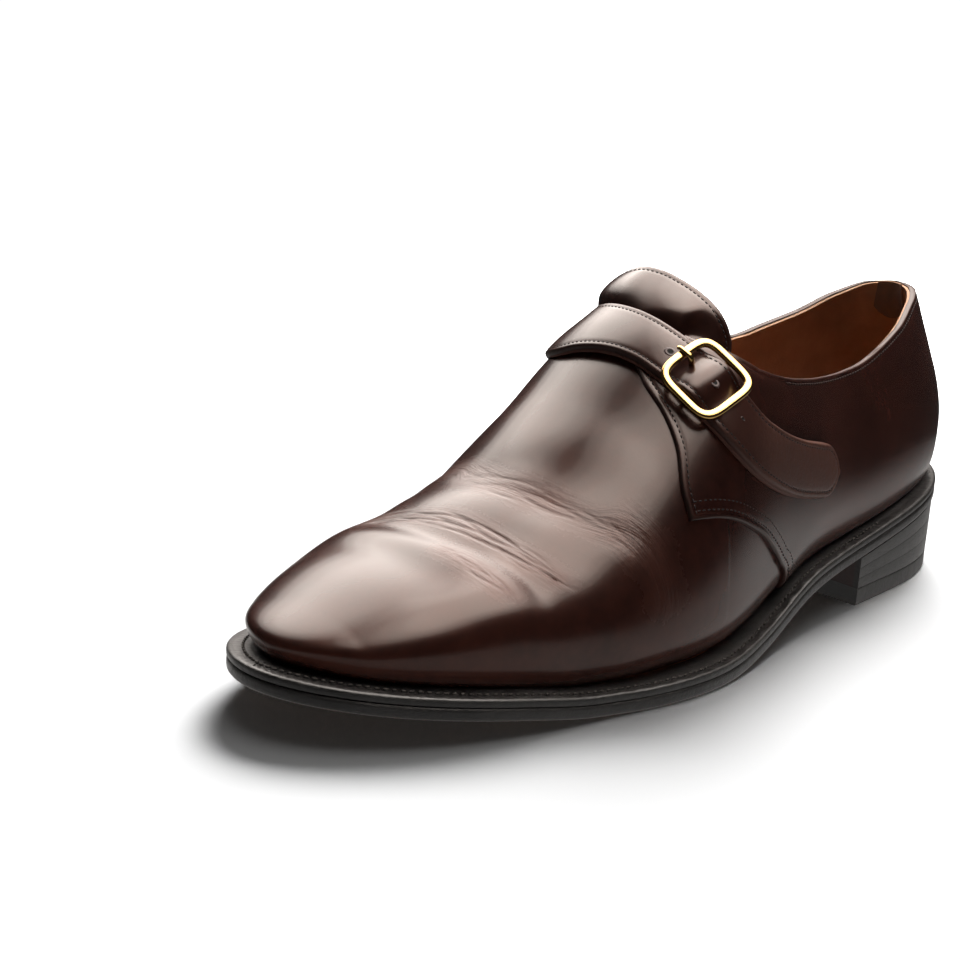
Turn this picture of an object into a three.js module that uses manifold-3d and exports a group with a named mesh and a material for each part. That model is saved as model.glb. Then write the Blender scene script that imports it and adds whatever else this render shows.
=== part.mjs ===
import * as THREE from "three";
import Module from "manifold-3d";

const wasm = await Module();
wasm.setup();
const { Manifold, Mesh } = wasm;

// A left monk strap shoe. Millimetres, sole on z = 0, toe towards -y, lateral side towards +x.
// "at" is always the distance from the heel back towards the toe, in millimetres.
const SOLE_LENGTH = 304;
const UPPER_LENGTH = 297;
const UPPER_START = 1;
const OUTSOLE_THICK = 4;
const SOLE_ROWS = 36;
const SOLE_EDGE = 6.6;
const CENTRE = [-5.05, -0.14, 0];
const SEAT_GAP = 0.15;
const UPPER_CLEAR = 0.4;

// Half widths of the sole edge on the two sides of the centre line.
const SOLE = columns(["at", "lateral", "medial"], [
  [12, 22.9, 23.5],
  [30, 33.2, 31.5],
  [55, 38.8, 33.0],
  [85, 41.6, 31.1],
  [115, 45.6, 29.6],
  [145, 51.9, 32.1],
  [175, 58.2, 39.9],
  [200, 57.9, 46.9],
  [220, 54.0, 48.6],
  [245, 49.0, 45.0],
  [268, 40.9, 37.5],
  [288, 28.6, 28.0],
]);

// Height of the outsole's underside: heel seat, arch, tread on the floor, toe spring.
const UNDERSIDE = columns(["at", "height"], [
  [0, 28.3],
  [40, 23.2],
  [82, 17.1],
  [115, 12.6],
  [150, 3.4],
  [172, 0.4],
  [185, 0],
  [205, 0],
  [225, 0.9],
  [250, 4.5],
  [280, 8.6],
  [304, 12.3],
]);

// Cross-sections of the last: widest half widths, how far the lower wall tucks in,
// height of the widest line over the welt, height of the ridge over the floor,
// fullness of the shoulders and sideways lean of the ridge.
const LAST = columns(["at", "lateral", "medial", "tuck", "belly", "top", "full", "lean"], [
  [6, 16.2, 16.2, 2.5, 22, 118, -0.05, 0],
  [20, 26.6, 25.6, 3.0, 22, 116, -0.06, 0],
  [40, 33.0, 30.0, 3.5, 21, 114, -0.06, 0],
  [65, 36.6, 31.0, 4.0, 20, 116, -0.06, -1],
  [90, 38.8, 30.8, 5.0, 18, 117, -0.05, -2.5],
  [115, 42.5, 31.0, 6.0, 17, 117, -0.02, -4.5],
  [140, 47.5, 32.5, 6.0, 15, 110, 0.02, -6],
  [165, 52.5, 37.5, 5.5, 14, 95.5, 0.035, -6],
  [190, 53.8, 42.5, 5.0, 13, 75.5, 0.01, -4.2],
  [210, 51.5, 43.8, 4.5, 13, 60.5, 0, -2],
  [230, 47.5, 42.5, 4.0, 13, 49.5, 0, -0.6],
  [250, 42.5, 39.5, 4.0, 12, 42.8, 0.03, 0.2],
  [268, 35.2, 33.7, 3.8, 10.5, 37.4, 0.06, 0.3],
  [284, 25.0, 25.0, 3.5, 8.5, 32, 0.08, 0.1],
]);

// How far the back of the heel leans forward at each height over the welt.
const BACK = columns(["height", "forward"], [
  [0, 2.5],
  [8, 1.2],
  [18, 1.6],
  [32, 5.0],
  [45, 9.5],
  [58, 12.5],
  [70, 13.5],
  [120, 13.5],
]);
const BACK_FADE = 110;
const TOE_ROUND = 36;
const TOE_BELLY = 0.75;
const TOE_TUCK = 3;
const TOE_TUCK_FROM = 230;
const BELLY = 0.8;
const TUCK_TURN = 70 * Math.PI / 180;
const TUCK_FULL = 40;

// Layers over the last: inner and outer distance of each leather from the last's surface.
const WALL = [-2, 0];
const PANEL = [0.45, 1.75];
const STRAP = [2.15, 4.55];
const TAB = [2.1, 3.3];
const TONGUE_UNDER = -3;
const TONGUE_THICK = 2;

// Panel edges on the last. "side" is -1 at the medial welt line, 0 on the ridge, 1 at the lateral one.
const LATERAL_COLLAR = [
  [1, 0.36], [20, 0.38], [44, 0.425], [64, 0.465], [80, 0.485], [94, 0.49], [112, 0.493], [123, 0.485], [131.6, 0.466],
];
const LATERAL_RISE = [[131.6, 0.466], [138, 0.443], [144.5, 0.41]];
const LATERAL_FLAP = [[144.5, 0.41], [149.5, 0.365], [154.5, 0.305], [158.2, 0.25], [160.3, 0.2]];
const LATERAL_WING = [[131.6, 1], [133.5, 0.93], [139, 0.825], [152.2, 0.725], [163, 0.67], [179, 0.588], [187, 0.55]];
const LATERAL_FRONT = [[187, 0.55], [186.6, 0.485], [182.5, 0.38], [180.2, 0.29], [178.4, 0.2], [175.5, 0.135]];
const MEDIAL_COLLAR = [
  [1, -0.36], [20, -0.38], [44, -0.42], [64, -0.45], [80, -0.465], [102, -0.465], [112, -0.452], [131.6, -0.385],
];
const MEDIAL_RISE = [[140, -0.352], [146, -0.32], [152, -0.285]];
const MEDIAL_WING = [[131.6, -1], [133.5, -0.93], [139, -0.84], [152, -0.755], [164, -0.7], [176, -0.66]];
const MEDIAL_FRONT = [[176, -0.66], [173, -0.58], [171, -0.49], [170.5, -0.425], [171.5, -0.35], [174.5, -0.27]];
const MEDIAL_THROAT = [[142, -0.345], [152, -0.31], [160.3, -0.26]];
const THROAT = 172;
const FLAP_END = 160.3;
const REAR_ROWS = 15;
const BACK_SEAM = 0.0012;
const PANEL_STEPS = 10;

// Strap: centre line on the last and half width across it.
const STRAP_LINE = columns(["at", "side", "half"], [
  [163.5, -0.25, 12],
  [166.8, -0.19, 11.4],
  [168, -0.12, 10.7],
  [168.6, -0.045, 9.8],
  [168.9, 0.03, 8.9],
  [169.1, 0.1, 8.2],
  [169.2, 0.17, 7.8],
  [169, 0.24, 7.8],
  [167.6, 0.33, 7.9],
  [164.8, 0.425, 8.3],
  [159.3, 0.512, 8.6],
  [150.5, 0.576, 8.7],
  [138.2, 0.63, 8.7],
  [123.7, 0.675, 8.5],
  [108.7, 0.71, 8.2],
]);
const STRAP_TIP_ROUND = 9;
const STRAP_TIP_FLAT = 0.7;
const STRAP_STEPS = 30;
const FRONT_STEPS = 6;
const PANEL_FOOT = 0.985;

// Tongue: how far back its top edge reaches at each place across it.
const TONGUE_TOP = columns(["side", "at"], [
  [-0.34, 158],
  [-0.3, 152.5],
  [-0.25, 149.5],
  [-0.175, 147],
  [-0.1, 146.2],
  [0, 146.4],
  [0.08, 147],
  [0.23, 147.5],
  [0.3, 147.7],
  [0.35, 149.5],
  [0.385, 155],
]);
const TONGUE_FOOT = 184;
const TONGUE_RISE = columns(["side", "throat", "strap", "lift"], [
  [-0.34, 120, 120, 1],
  [-0.3, 140, 140, 3],
  [-0.25, 157, 154.5, 5.5],
  [-0.18, 164, 157.5, 6.2],
  [-0.08, 169, 159.5, 6],
  [0, 170, 160.8, 4.8],
  [0.08, 168, 162, 3.8],
  [0.15, 164, 162, 3.2],
  [0.2, 158, 157, 2.8],
  [0.28, 153, 152, 2],
  [0.34, 149, 148, 1],
  [0.385, 142, 142, 0],
]);
const TONGUE_SEAT_RUN = 9;
const TONGUE_LIFT_RUN = 8;

// Buckle: a rounded square frame with a centre bar and a prong.
const BUCKLE_ROW = 8;
const BUCKLE_ACROSS = 10.4;
const BUCKLE_LONG = 10;
const BUCKLE_CORNER = 5;
const BUCKLE_WIRE = 1.15;
const BUCKLE_HEIGHT = 5.65;
const BAR_WIRE = 0.9;
const BAR_HEIGHT = 2.9;
const SMALLEST_STEP = 0.03;
const STRAP_BUMP = 2.1;
const STRAP_BUMP_RUN = 7.5;
const PRONG_WIRE = 0.8;

// Heel: outline inset, lifts and top piece.
const HEEL_LENGTH = 84;
const BREAST_CURVE = 2.5;
const TOP_PIECE = 6;
const LIFTS = 3;
const HEEL_INSET = 0.3;
const HEEL_TAPER = 0.6;

const LEATHER = new THREE.MeshStandardMaterial({ name: "brown_leather", color: 0x3a1a14, roughness: 0.4 });
const EDGE = new THREE.MeshStandardMaterial({ name: "black_edge", color: 0x141110, roughness: 0.5 });
const BRASS = new THREE.MeshStandardMaterial({ name: "brass", color: 0xc8a24a, roughness: 0.2, metalness: 1 });
const TAN = new THREE.MeshStandardMaterial({ name: "tan_lining", color: 0xa87448, roughness: 0.7 });
const RUBBER = new THREE.MeshStandardMaterial({ name: "black_rubber", color: 0x0c0b0b, roughness: 0.8 });

// Small number helpers.
function columns(names, rows) {
  return Object.fromEntries(names.map((name, k) => [name, rows.map((row) => row[k])]));
}

function clamp(value, low, high) {
  return Math.min(high, Math.max(low, value));
}

function ease(t) {
  const c = clamp(t, 0, 1);
  return c * c * (3 - 2 * c);
}

function mix(a, b, t) {
  return a.map((value, k) => value + (b[k] - value) * t);
}

function add(a, b, scale = 1) {
  return a.map((value, k) => value + b[k] * scale);
}

function cross(a, b) {
  return [a[1] * b[2] - a[2] * b[1], a[2] * b[0] - a[0] * b[2], a[0] * b[1] - a[1] * b[0]];
}

function unit(a) {
  const size = Math.hypot(...a);
  return a.map((value) => value / size);
}

function segmentAt(xs, x) {
  let k = 0;
  while (k < xs.length - 2 && x > xs[k + 1]) {
    k += 1;
  }
  return k;
}

function hermite(xs, ys, slopes, x) {
  const k = segmentAt(xs, x);
  const h = xs[k + 1] - xs[k];
  const t = (x - xs[k]) / h;
  const a = (1 + 2 * t) * (1 - t) * (1 - t) * ys[k] + t * t * (3 - 2 * t) * ys[k + 1];
  return a + h * t * (1 - t) * ((1 - t) * slopes[k] - t * slopes[k + 1]);
}

// Cubic curve through the rows that never overshoots them.
function steady(xs, ys) {
  const rise = xs.slice(1).map((x, k) => (ys[k + 1] - ys[k]) / (x - xs[k]));
  const slopes = ys.map((y, k) => {
    if (k === 0 || k === ys.length - 1) {
      return rise[Math.min(k, rise.length - 1)];
    }
    const [a, b] = [rise[k - 1], rise[k]];
    return a * b <= 0 ? 0 : 2 * a * b / (a + b);
  });
  return (x) => hermite(xs, ys, slopes, clamp(x, xs[0], xs[xs.length - 1]));
}

// Natural cubic spline through the rows.
function spline(xs, ys) {
  const n = xs.length;
  const diagonal = [2];
  const right = [3 * (ys[1] - ys[0]) / (xs[1] - xs[0])];
  const upper = [1];
  for (let k = 1; k < n; k += 1) {
    const before = xs[k] - xs[k - 1];
    const after = k < n - 1 ? xs[k + 1] - xs[k] : 0;
    const lower = k < n - 1 ? after : 1;
    const middle = k < n - 1 ? 2 * (before + after) : 2;
    const slopeBefore = (ys[k] - ys[k - 1]) / before;
    const slopeAfter = k < n - 1 ? (ys[k + 1] - ys[k]) / after : 0;
    const wanted = k < n - 1 ? 3 * (after * slopeBefore + before * slopeAfter) : 3 * slopeBefore;
    const factor = lower / diagonal[k - 1];
    diagonal.push(middle - factor * upper[k - 1]);
    right.push(wanted - factor * right[k - 1]);
    upper.push(before);
  }
  const slopes = Array(n).fill(0);
  for (let k = n - 1; k >= 0; k -= 1) {
    const next = k < n - 1 ? upper[k] * slopes[k + 1] : 0;
    slopes[k] = (right[k] - next) / diagonal[k];
  }
  return (x) => hermite(xs, ys, slopes, x);
}

// Half width that rounds off to nothing at both ends of a length.
function roundEnded(at, half, length) {
  const round = (x) => Math.sqrt(Math.max(x * (length - x), 1e-9)) / (length / 2);
  const curve = spline(at, half.map((value, k) => value / round(at[k])));
  return (x) => curve(x) * round(x);
}

// The last.
const soleLateral = roundEnded(SOLE.at, SOLE.lateral, SOLE_LENGTH);
const soleMedial = roundEnded(SOLE.at, SOLE.medial, SOLE_LENGTH);
const underside = steady(UNDERSIDE.at, UNDERSIDE.height);
const lastLateral = roundEnded(LAST.at, LAST.lateral, UPPER_LENGTH);
const lastMedial = roundEnded(LAST.at, LAST.medial, UPPER_LENGTH);
const back = steady(BACK.height, BACK.forward);
const lastRow = Object.fromEntries(["tuck", "belly", "top", "full", "lean"].map((name) => {
  return [name, steady(LAST.at, LAST[name])];
}));

function atOf(s) {
  return UPPER_LENGTH * (1 - Math.cos(Math.PI * s)) / 2;
}

function sOf(at) {
  return Math.acos(clamp(1 - 2 * (at - UPPER_START) / UPPER_LENGTH, -1, 1)) / Math.PI;
}

function weltTop(at) {
  return underside(clamp(at, 0, SOLE_LENGTH)) + SOLE_EDGE;
}

// Point of the last's surface: s runs 0..1 from heel to toe, side -1..1 across.
function lastPoint(s, side) {
  const a = atOf(s);
  const at = a + UPPER_START;
  const lateral = s <= 0 || s >= 1 ? 0 : lastLateral(a);
  const medial = s <= 0 || s >= 1 ? 0 : lastMedial(a);
  const toeRun = clamp((a - UPPER_LENGTH + TOE_ROUND) / TOE_ROUND, 0, 1);
  const toe = Math.sqrt(Math.max(0, 1 - toeRun * toeRun));
  const floor = weltTop(at) + UPPER_CLEAR;
  const belly = lastRow.belly(a) * (TOE_BELLY + (1 - TOE_BELLY) * toe);
  const rise = (lastRow.top(a) - floor - lastRow.belly(a)) * toe;
  const across = Math.abs(side);
  let x;
  let height;
  if (across <= BELLY) {
    const turn = Math.PI / 2 * (1 - side / BELLY);
    const full = lastRow.full(a);
    const wide = (1 + full) * Math.cos(turn) - full * Math.cos(3 * turn);
    const tall = (1 + full) * Math.sin(turn) + full * Math.sin(3 * turn);
    const lean = lastRow.lean(a) * toe * Math.sin(turn) ** 3;
    x = (lateral - medial) / 2 + (lateral + medial) / 2 * wide + (s <= 0 ? 0 : lean);
    height = belly + rise * tall;
  } else {
    const turn = (across - BELLY) / (1 - BELLY) * TUCK_TURN;
    const near = Math.min(1, Math.sqrt(Math.max(0, a * (UPPER_LENGTH - a))) / TUCK_FULL);
    const inset = lastRow.tuck(a) * near * (1 - Math.cos(turn)) / (1 - Math.cos(TUCK_TURN));
    x = side > 0 ? lateral - inset : inset - medial;
    height = belly * (1 - Math.sin(turn) / Math.sin(TUCK_TURN));
  }
  const forward = back(height) * clamp((BACK_FADE - at) / BACK_FADE, 0, 1) ** 2;
  const low = (1 - clamp(height / belly, 0, 1)) ** 2;
  const toeward = clamp((at - TOE_TUCK_FROM) / (UPPER_LENGTH + UPPER_START - TOE_TUCK_FROM), 0, 1);
  return [x, SOLE_LENGTH / 2 - at - forward + TOE_TUCK * low * toeward ** 2, floor + height];
}

// Outward direction of the last's surface, level below its widest line.
function outward(s, side) {
  const step = 1e-4;
  const [s0, s1] = [Math.max(0, s - step), Math.min(1, s + step)];
  const [v0, v1] = [Math.max(-1, side - step), Math.min(1, side + step)];
  if (s1 - s0 < 1.5 * step && s > 0.5) {
    return [0, -1, 0];
  }
  const along = s <= 0 ? [Math.sign(side), 0, 0] : add(lastPoint(s1, side), lastPoint(s0, side), -1);
  const across = add(lastPoint(s, v1), lastPoint(s, v0), -1);
  const normal = unit(cross(along, across));
  normal[2] *= 1 - ease((Math.abs(side) - BELLY) / (1 - BELLY) * 2);
  return unit(normal);
}

function onLast(s, side, lift) {
  return add(lastPoint(s, side), outward(s, side), lift);
}

// Closed skins. Points that meet are shared, and walls that meet face to face cancel.
class Skin {
  constructor() {
    this.points = [];
    this.ids = new Map();
    this.faces = new Map();
  }

  id(point) {
    const key = point.map((value) => Math.round(value * 1e4)).join(",");
    if (!this.ids.has(key)) {
      this.ids.set(key, this.points.length);
      this.points.push(point);
    }
    return this.ids.get(key);
  }

  triangle(a, b, c) {
    if (a === b || b === c || a === c) {
      return;
    }
    const key = [a, b, c].sort((p, q) => p - q).join(",");
    if (this.faces.has(key)) {
      this.faces.delete(key);
    } else {
      this.faces.set(key, [a, b, c]);
    }
  }

  quad(p, q, r, t) {
    const [a, b, c, d] = [this.id(p), this.id(q), this.id(r), this.id(t)];
    if (Math.min(a, c) < Math.min(b, d)) {
      this.triangle(a, b, c);
      this.triangle(a, c, d);
    } else {
      this.triangle(a, b, d);
      this.triangle(b, c, d);
    }
  }

  // Slab between two matching grids of points, with walls round its border.
  slab(outer, inner) {
    const rows = outer.length - 1;
    const steps = outer[0].length - 1;
    for (let i = 0; i < rows; i += 1) {
      for (let j = 0; j < steps; j += 1) {
        this.quad(outer[i][j], outer[i + 1][j], outer[i + 1][j + 1], outer[i][j + 1]);
        this.quad(inner[i][j], inner[i][j + 1], inner[i + 1][j + 1], inner[i + 1][j]);
      }
      this.quad(outer[i][0], inner[i][0], inner[i + 1][0], outer[i + 1][0]);
      this.quad(outer[i][steps], outer[i + 1][steps], inner[i + 1][steps], inner[i][steps]);
    }
    for (let j = 0; j < steps; j += 1) {
      this.quad(outer[0][j], outer[0][j + 1], inner[0][j + 1], inner[0][j]);
      this.quad(outer[rows][j], inner[rows][j], inner[rows][j + 1], outer[rows][j + 1]);
    }
    return this;
  }

  solid() {
    const mesh = new Mesh({
      numProp: 3,
      vertProperties: new Float32Array(this.points.flat()),
      triVerts: new Uint32Array([...this.faces.values()].flat()),
    });
    mesh.merge();
    let solid = new Manifold(mesh);
    if (solid.volume() < 0) {
      const turned = [...this.faces.values()].flatMap(([a, b, c]) => [a, c, b]);
      solid = new Manifold(new Mesh({
        numProp: 3,
        vertProperties: new Float32Array(this.points.flat()),
        triVerts: new Uint32Array(turned),
      }));
    }
    return solid;
  }
}

function slabSolid(outer, inner) {
  return new Skin().slab(outer, inner).solid();
}

function range(count) {
  return Array.from({ length: count + 1 }, (_, k) => k / count);
}

// Curve through [at, side] rows, measured by its length; returns [s, side].
function edge(rows) {
  const points = rows.map(([at, side]) => [sOf(at), side]);
  const lengths = [0];
  for (let k = 1; k < points.length; k += 1) {
    const [a, b] = [points[k - 1], points[k]];
    lengths.push(lengths[k - 1] + Math.hypot((b[0] - a[0]) * 3, b[1] - a[1]));
  }
  const total = lengths[lengths.length - 1];
  const run = lengths.map((value) => value / total);
  const s = steady(run, points.map((p) => p[0]));
  const side = steady(run, points.map((p) => p[1]));
  return (t) => [s(t), side(t)];
}

function sample(curve, count) {
  return range(count).map(curve);
}

// Grid of points between two edges on the last, each row at its own lift.
function ruled(lowEdge, highEdge, steps, liftOfRow) {
  return lowEdge.map((low, i) => range(steps).map((t) => {
    const [s, side] = mix(low, highEdge[i], t);
    return onLast(s, side, liftOfRow(i, t));
  }));
}

function joined(pieces) {
  return pieces.flatMap((piece, k) => (k === 0 ? piece : piece.slice(1)));
}

// Upper: one hollow wall, open at the collar and throat and underneath.
function upper() {
  const throat = sOf(THROAT);
  const flap = sOf(FLAP_END);
  const wing = flap * REAR_ROWS / (REAR_ROWS + 2);
  const rows = range(REAR_ROWS).map((t) => wing * t);
  range(6).slice(1).forEach((t) => rows.push(wing + (flap - wing) * t));
  range(4).slice(1).forEach((t) => rows.push(flap + (throat - flap) * (1 - (1 - t) ** 2)));
  range(19).slice(1).forEach((t) => rows.push(throat + (1 - throat) * t));
  const skin = new Skin();
  [1, -1].forEach((hand) => {
    const top = topline(hand);
    const steps = hand > 0 ? range(PANEL_STEPS) : range(PANEL_STEPS).reverse();
    const grid = (lift) => rows.map((s) => steps.map((t) => {
      return onLast(s, hand + (top(s) - hand) * t, lift);
    }));
    skin.slab(grid(WALL[1]), grid(WALL[0]));
  });
  return skin.solid();
}

// Where the wall ends at the top on one side, as a value of side for each s.
function topline(hand) {
  const collar = hand > 0
    ? [...LATERAL_COLLAR, ...LATERAL_RISE.slice(1), ...LATERAL_FLAP.slice(1)]
    : [...MEDIAL_COLLAR, ...MEDIAL_THROAT];
  const curve = steady(collar.map((row) => sOf(row[0])), collar.map((row) => row[1]));
  const last = collar[collar.length - 1];
  const [start, end] = [sOf(last[0]), sOf(THROAT)];
  return (s) => {
    if (s >= end - 1e-9) {
      return 0;
    }
    if (s <= start) {
      return curve(s);
    }
    return last[1] * Math.sqrt(Math.max(0, 1 - ((s - start) / (end - start)) ** 2));
  };
}

// Rows of a quarter from the heel to its wing, straight up from the welt to the collar.
function rearRows(hand) {
  const top = topline(hand);
  const end = sOf(FLAP_END) * REAR_ROWS / (REAR_ROWS + 2);
  const rows = range(REAR_ROWS).map((t) => Math.max(BACK_SEAM, end * t));
  return { low: rows.map((s) => [s, hand * PANEL_FOOT]), high: rows.map((s) => [s, top(s)]) };
}

// Lateral quarter: an overlay from the heel to the flap under the buckle.
function lateralQuarter() {
  const rear = rearRows(1);
  const low = joined([rear.low, sample(edge(LATERAL_WING), 7), sample(edge(LATERAL_FRONT), 7)]);
  const high = joined([rear.high, sample(edge(LATERAL_RISE), 7), sample(edge(LATERAL_FLAP), 7)]);
  const skins = [1, 0].map((layer) => ruled(low, high, PANEL_STEPS, () => PANEL[layer]));
  return slabSolid(...skins);
}

// Strap: its centre line and half width at a row number of the table.
const strapRows = STRAP_LINE.at.map((_, k) => k);
const strapEnd = strapRows.length - 1;
const strapAt = spline(strapRows, STRAP_LINE.at);
const strapSide = spline(strapRows, STRAP_LINE.side);
const strapHalf = steady(strapRows, STRAP_LINE.half);

function strapCentre(q) {
  return lastPoint(sOf(strapAt(q)), strapSide(q));
}

// Centre and two edges of the strap at a row number, square to its centre line.
function strapRow(q) {
  const here = strapCentre(q);
  const reach = Math.hypot(...add(strapCentre(strapEnd), here, -1)) + STRAP_TIP_FLAT;
  const inRound = 1 - Math.min(1, reach / STRAP_TIP_ROUND);
  const half = strapHalf(q) * Math.sqrt(1 - inRound * inRound);
  const ahead = strapCentre(Math.min(strapEnd, q + 0.05));
  const forward = unit(add(ahead, strapCentre(Math.max(0, q - 0.05)), -1));
  const place = [sOf(strapAt(q)), strapSide(q)];
  const up = outward(...place);
  const sideways = unit(cross(up, forward));
  return {
    here,
    forward,
    up,
    front: stepOnLast(...place, sideways, half),
    rear: stepOnLast(...place, sideways, -half),
  };
}

// Walks a distance over the last in a direction and returns the [s, side] reached.
function stepOnLast(s, side, direction, distance) {
  const pieces = 6;
  let place = [s, side];
  for (let k = 0; k < pieces; k += 1) {
    const e = 1e-4;
    const base = lastPoint(...place);
    const ds = add(lastPoint(place[0] + e, place[1]), base, -1).map((value) => value / e);
    const dv = add(lastPoint(place[0], place[1] + e), base, -1).map((value) => value / e);
    const [a, b, c] = [dot(ds, ds), dot(ds, dv), dot(dv, dv)];
    const [p, q] = [dot(ds, direction), dot(dv, direction)];
    const scale = distance / pieces / (a * c - b * b);
    place = [place[0] + (c * p - b * q) * scale, place[1] + (a * q - b * p) * scale];
  }
  return place;
}

function dot(a, b) {
  return a[0] * b[0] + a[1] * b[1] + a[2] * b[2];
}

// Medial quarter and its strap, one piece of leather.
function medialQuarter(buckle) {
  const rear = rearRows(-1);
  const strap = range(STRAP_STEPS).map((t) => strapRow(strapEnd * (1 - (1 - t) ** 1.3)));
  const front = sample(edge(MEDIAL_FRONT), FRONT_STEPS);
  const rise = sample(edge(MEDIAL_RISE), FRONT_STEPS);
  bend(front, strap[0].front);
  bend(rise, strap[0].rear);
  const wing = sample(edge(MEDIAL_WING), 7);
  const wingTop = wing.map((_, k) => mix(rear.high[REAR_ROWS], rise[0], k / 7));
  const low = joined([rear.low, wing, front, strap.map((row) => row.front)]);
  const high = joined([rear.high, wingTop, rise, strap.map((row) => row.rear)]);
  const start = REAR_ROWS + 7;
  const lift = (layer) => (i) => {
    const onto = ease((i - start - 2) / (FRONT_STEPS + 7));
    const row = strap[Math.max(0, i - start - FRONT_STEPS)];
    const away = Math.hypot(...add(row.here, buckle.origin, -1));
    return PANEL[layer] + (STRAP[layer] - PANEL[layer]) * onto + STRAP_BUMP * ease(1 - away / STRAP_BUMP_RUN);
  };
  const skins = [1, 0].map((layer) => ruled(low, high, PANEL_STEPS, lift(layer)));
  return slabSolid(...skins);
}

// Moves the end of an edge onto a point, easing the rest after it.
function bend(points, target) {
  const last = points[points.length - 1];
  const shift = add(target, last, -1);
  points.forEach((point, k) => {
    const share = (k / (points.length - 1)) ** 2;
    point[0] += shift[0] * share;
    point[1] += shift[1] * share;
  });
}

// Tongue: tucked under the throat, pressed up to the strap and standing above it.
function tongue() {
  const top = steady(TONGUE_TOP.side, TONGUE_TOP.at);
  const sides = TONGUE_TOP.side;
  const [first, last] = [sides[0], sides[sides.length - 1]];
  const rise = (name) => steady(TONGUE_RISE.side, TONGUE_RISE[name]);
  const [throat, strap, lift] = [rise("throat"), rise("strap"), rise("lift")];
  const grid = (drop) => range(16).map((t) => range(16).map((r) => {
    const side = first + (last - first) * r;
    const at = TONGUE_FOOT + (top(side) - TONGUE_FOOT) * t;
    const seat = -TONGUE_UNDER * ease((throat(side) - at) / TONGUE_SEAT_RUN);
    const up = lift(side) * ease((strap(side) - at) / TONGUE_LIFT_RUN);
    return onLast(sOf(at), side, TONGUE_UNDER + seat + up - drop);
  }));
  return slabSolid(grid(0), grid(TONGUE_THICK));
}

// Heel tab: a short strip over the back seam at the collar.
function heelTab() {
  const grid = (lift) => range(6).map((t) => range(8).map((r) => {
    const across = (r - 0.5) * 2;
    const low = 0.5 - 0.04 * across * across;
    const side = 0.362 + (low - 0.362) * t;
    return onLast(Math.abs(across) * 0.055, across < 0 ? -side : side, lift);
  }));
  return slabSolid(grid(TAB[1]), grid(TAB[0]));
}

// Plate between the two sides of an outline, from one height to another.
function plate(count, steps, sides, heights) {
  const grid = (level) => range(count).map((s) => {
    const [left, right] = sides(s, level);
    return range(steps).map((t) => {
      const [x, y, at] = mix(left, right, t);
      return [x, y, heights(at)[level]];
    });
  });
  return slabSolid(grid(1), grid(0));
}

function soleSides(s, inset) {
  const at = SOLE_LENGTH * (1 - Math.cos(Math.PI * s)) / 2;
  const end = s <= 0 || s >= 1;
  const shrink = 1 - 2 * inset / SOLE_LENGTH;
  const y = (SOLE_LENGTH / 2 - at) * shrink;
  const lateral = end ? 0 : Math.max(0, soleLateral(at) - inset);
  const medial = end ? 0 : Math.max(0, soleMedial(at) - inset);
  return [[-medial, y, at], [lateral, y, at]];
}

function outsole() {
  return plate(SOLE_ROWS, 2, (s, level) => soleSides(s, level === 0 ? 0 : 0.2), (at) => {
    return [underside(at), underside(at) + OUTSOLE_THICK];
  });
}

// Inside line of the upper's lower edge, moved in by a margin.
function seatSides(s, margin) {
  const at = atOf(s) + UPPER_START;
  return [onLast(s, -1, WALL[0] - margin), onLast(s, 1, WALL[0] - margin)].map(([x, y]) => [x, y, at]);
}

function insole() {
  return plate(SOLE_ROWS, 2, (s) => seatSides(s, 0.9), (at) => {
    return [weltTop(at) - SOLE_EDGE + OUTSOLE_THICK + SEAT_GAP, weltTop(at) + 2.4];
  });
}

// Welt: a ring between the upper's lower edge and the sole's edge.
function welt() {
  const count = SOLE_ROWS;
  const stations = [...range(count), ...range(count).reverse().slice(1, -1)];
  const skin = new Skin();
  const quads = stations.map((s, k) => {
    const hand = k <= count ? 1 : 0;
    const inner = seatSides(s, 0.1)[hand];
    const outer = soleSides(s, 0)[hand];
    const low = underside(outer[2]) + OUTSOLE_THICK + SEAT_GAP;
    const high = underside(outer[2]) + SOLE_EDGE - SEAT_GAP;
    const innerLow = weltTop(inner[2]) - SOLE_EDGE + OUTSOLE_THICK + SEAT_GAP;
    const innerHigh = weltTop(inner[2]) - SEAT_GAP;
    return [
      [inner[0], inner[1], innerLow],
      [outer[0], outer[1], low],
      [outer[0], outer[1], high],
      [inner[0], inner[1], innerHigh],
    ];
  });
  quads.forEach((quad, k) => {
    const next = quads[(k + 1) % quads.length];
    quad.forEach((point, j) => {
      const m = (j + 1) % quad.length;
      skin.quad(point, quad[m], next[m], next[j]);
    });
  });
  return skin.solid();
}

// One layer of the heel between two shares of the height under the seat.
function heelLayer(bottom, top) {
  const grid = (level) => range(10).map((t) => {
    const at = HEEL_LENGTH * (1 - Math.cos(Math.PI / 2 * t));
    const share = level === 0 ? bottom : top;
    return range(4).map((r) => {
      const across = (r - 0.5) * 2;
      const reach = at - BREAST_CURVE * (1 - across * across) * t ** 6;
      const z = layerHeight(share, reach) + (bottom > 0 && level === 0 ? SEAT_GAP : 0);
      const inset = HEEL_INSET + HEEL_TAPER * (1 - z / underside(0));
      const half = at <= 0 ? 0 : across > 0 ? soleLateral(at) : soleMedial(at);
      const x = across * Math.max(0, half - (at <= 0 ? 0 : inset));
      const y = SOLE_LENGTH / 2 - inset - reach * (1 - inset / HEEL_LENGTH);
      return [x, y, z];
    });
  });
  return slabSolid(grid(1), grid(0));
}

function layerHeight(share, at) {
  if (share <= 0) {
    return 0;
  }
  return TOP_PIECE + (underside(at) - SEAT_GAP - TOP_PIECE) * (share - 1) / LIFTS;
}

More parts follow.
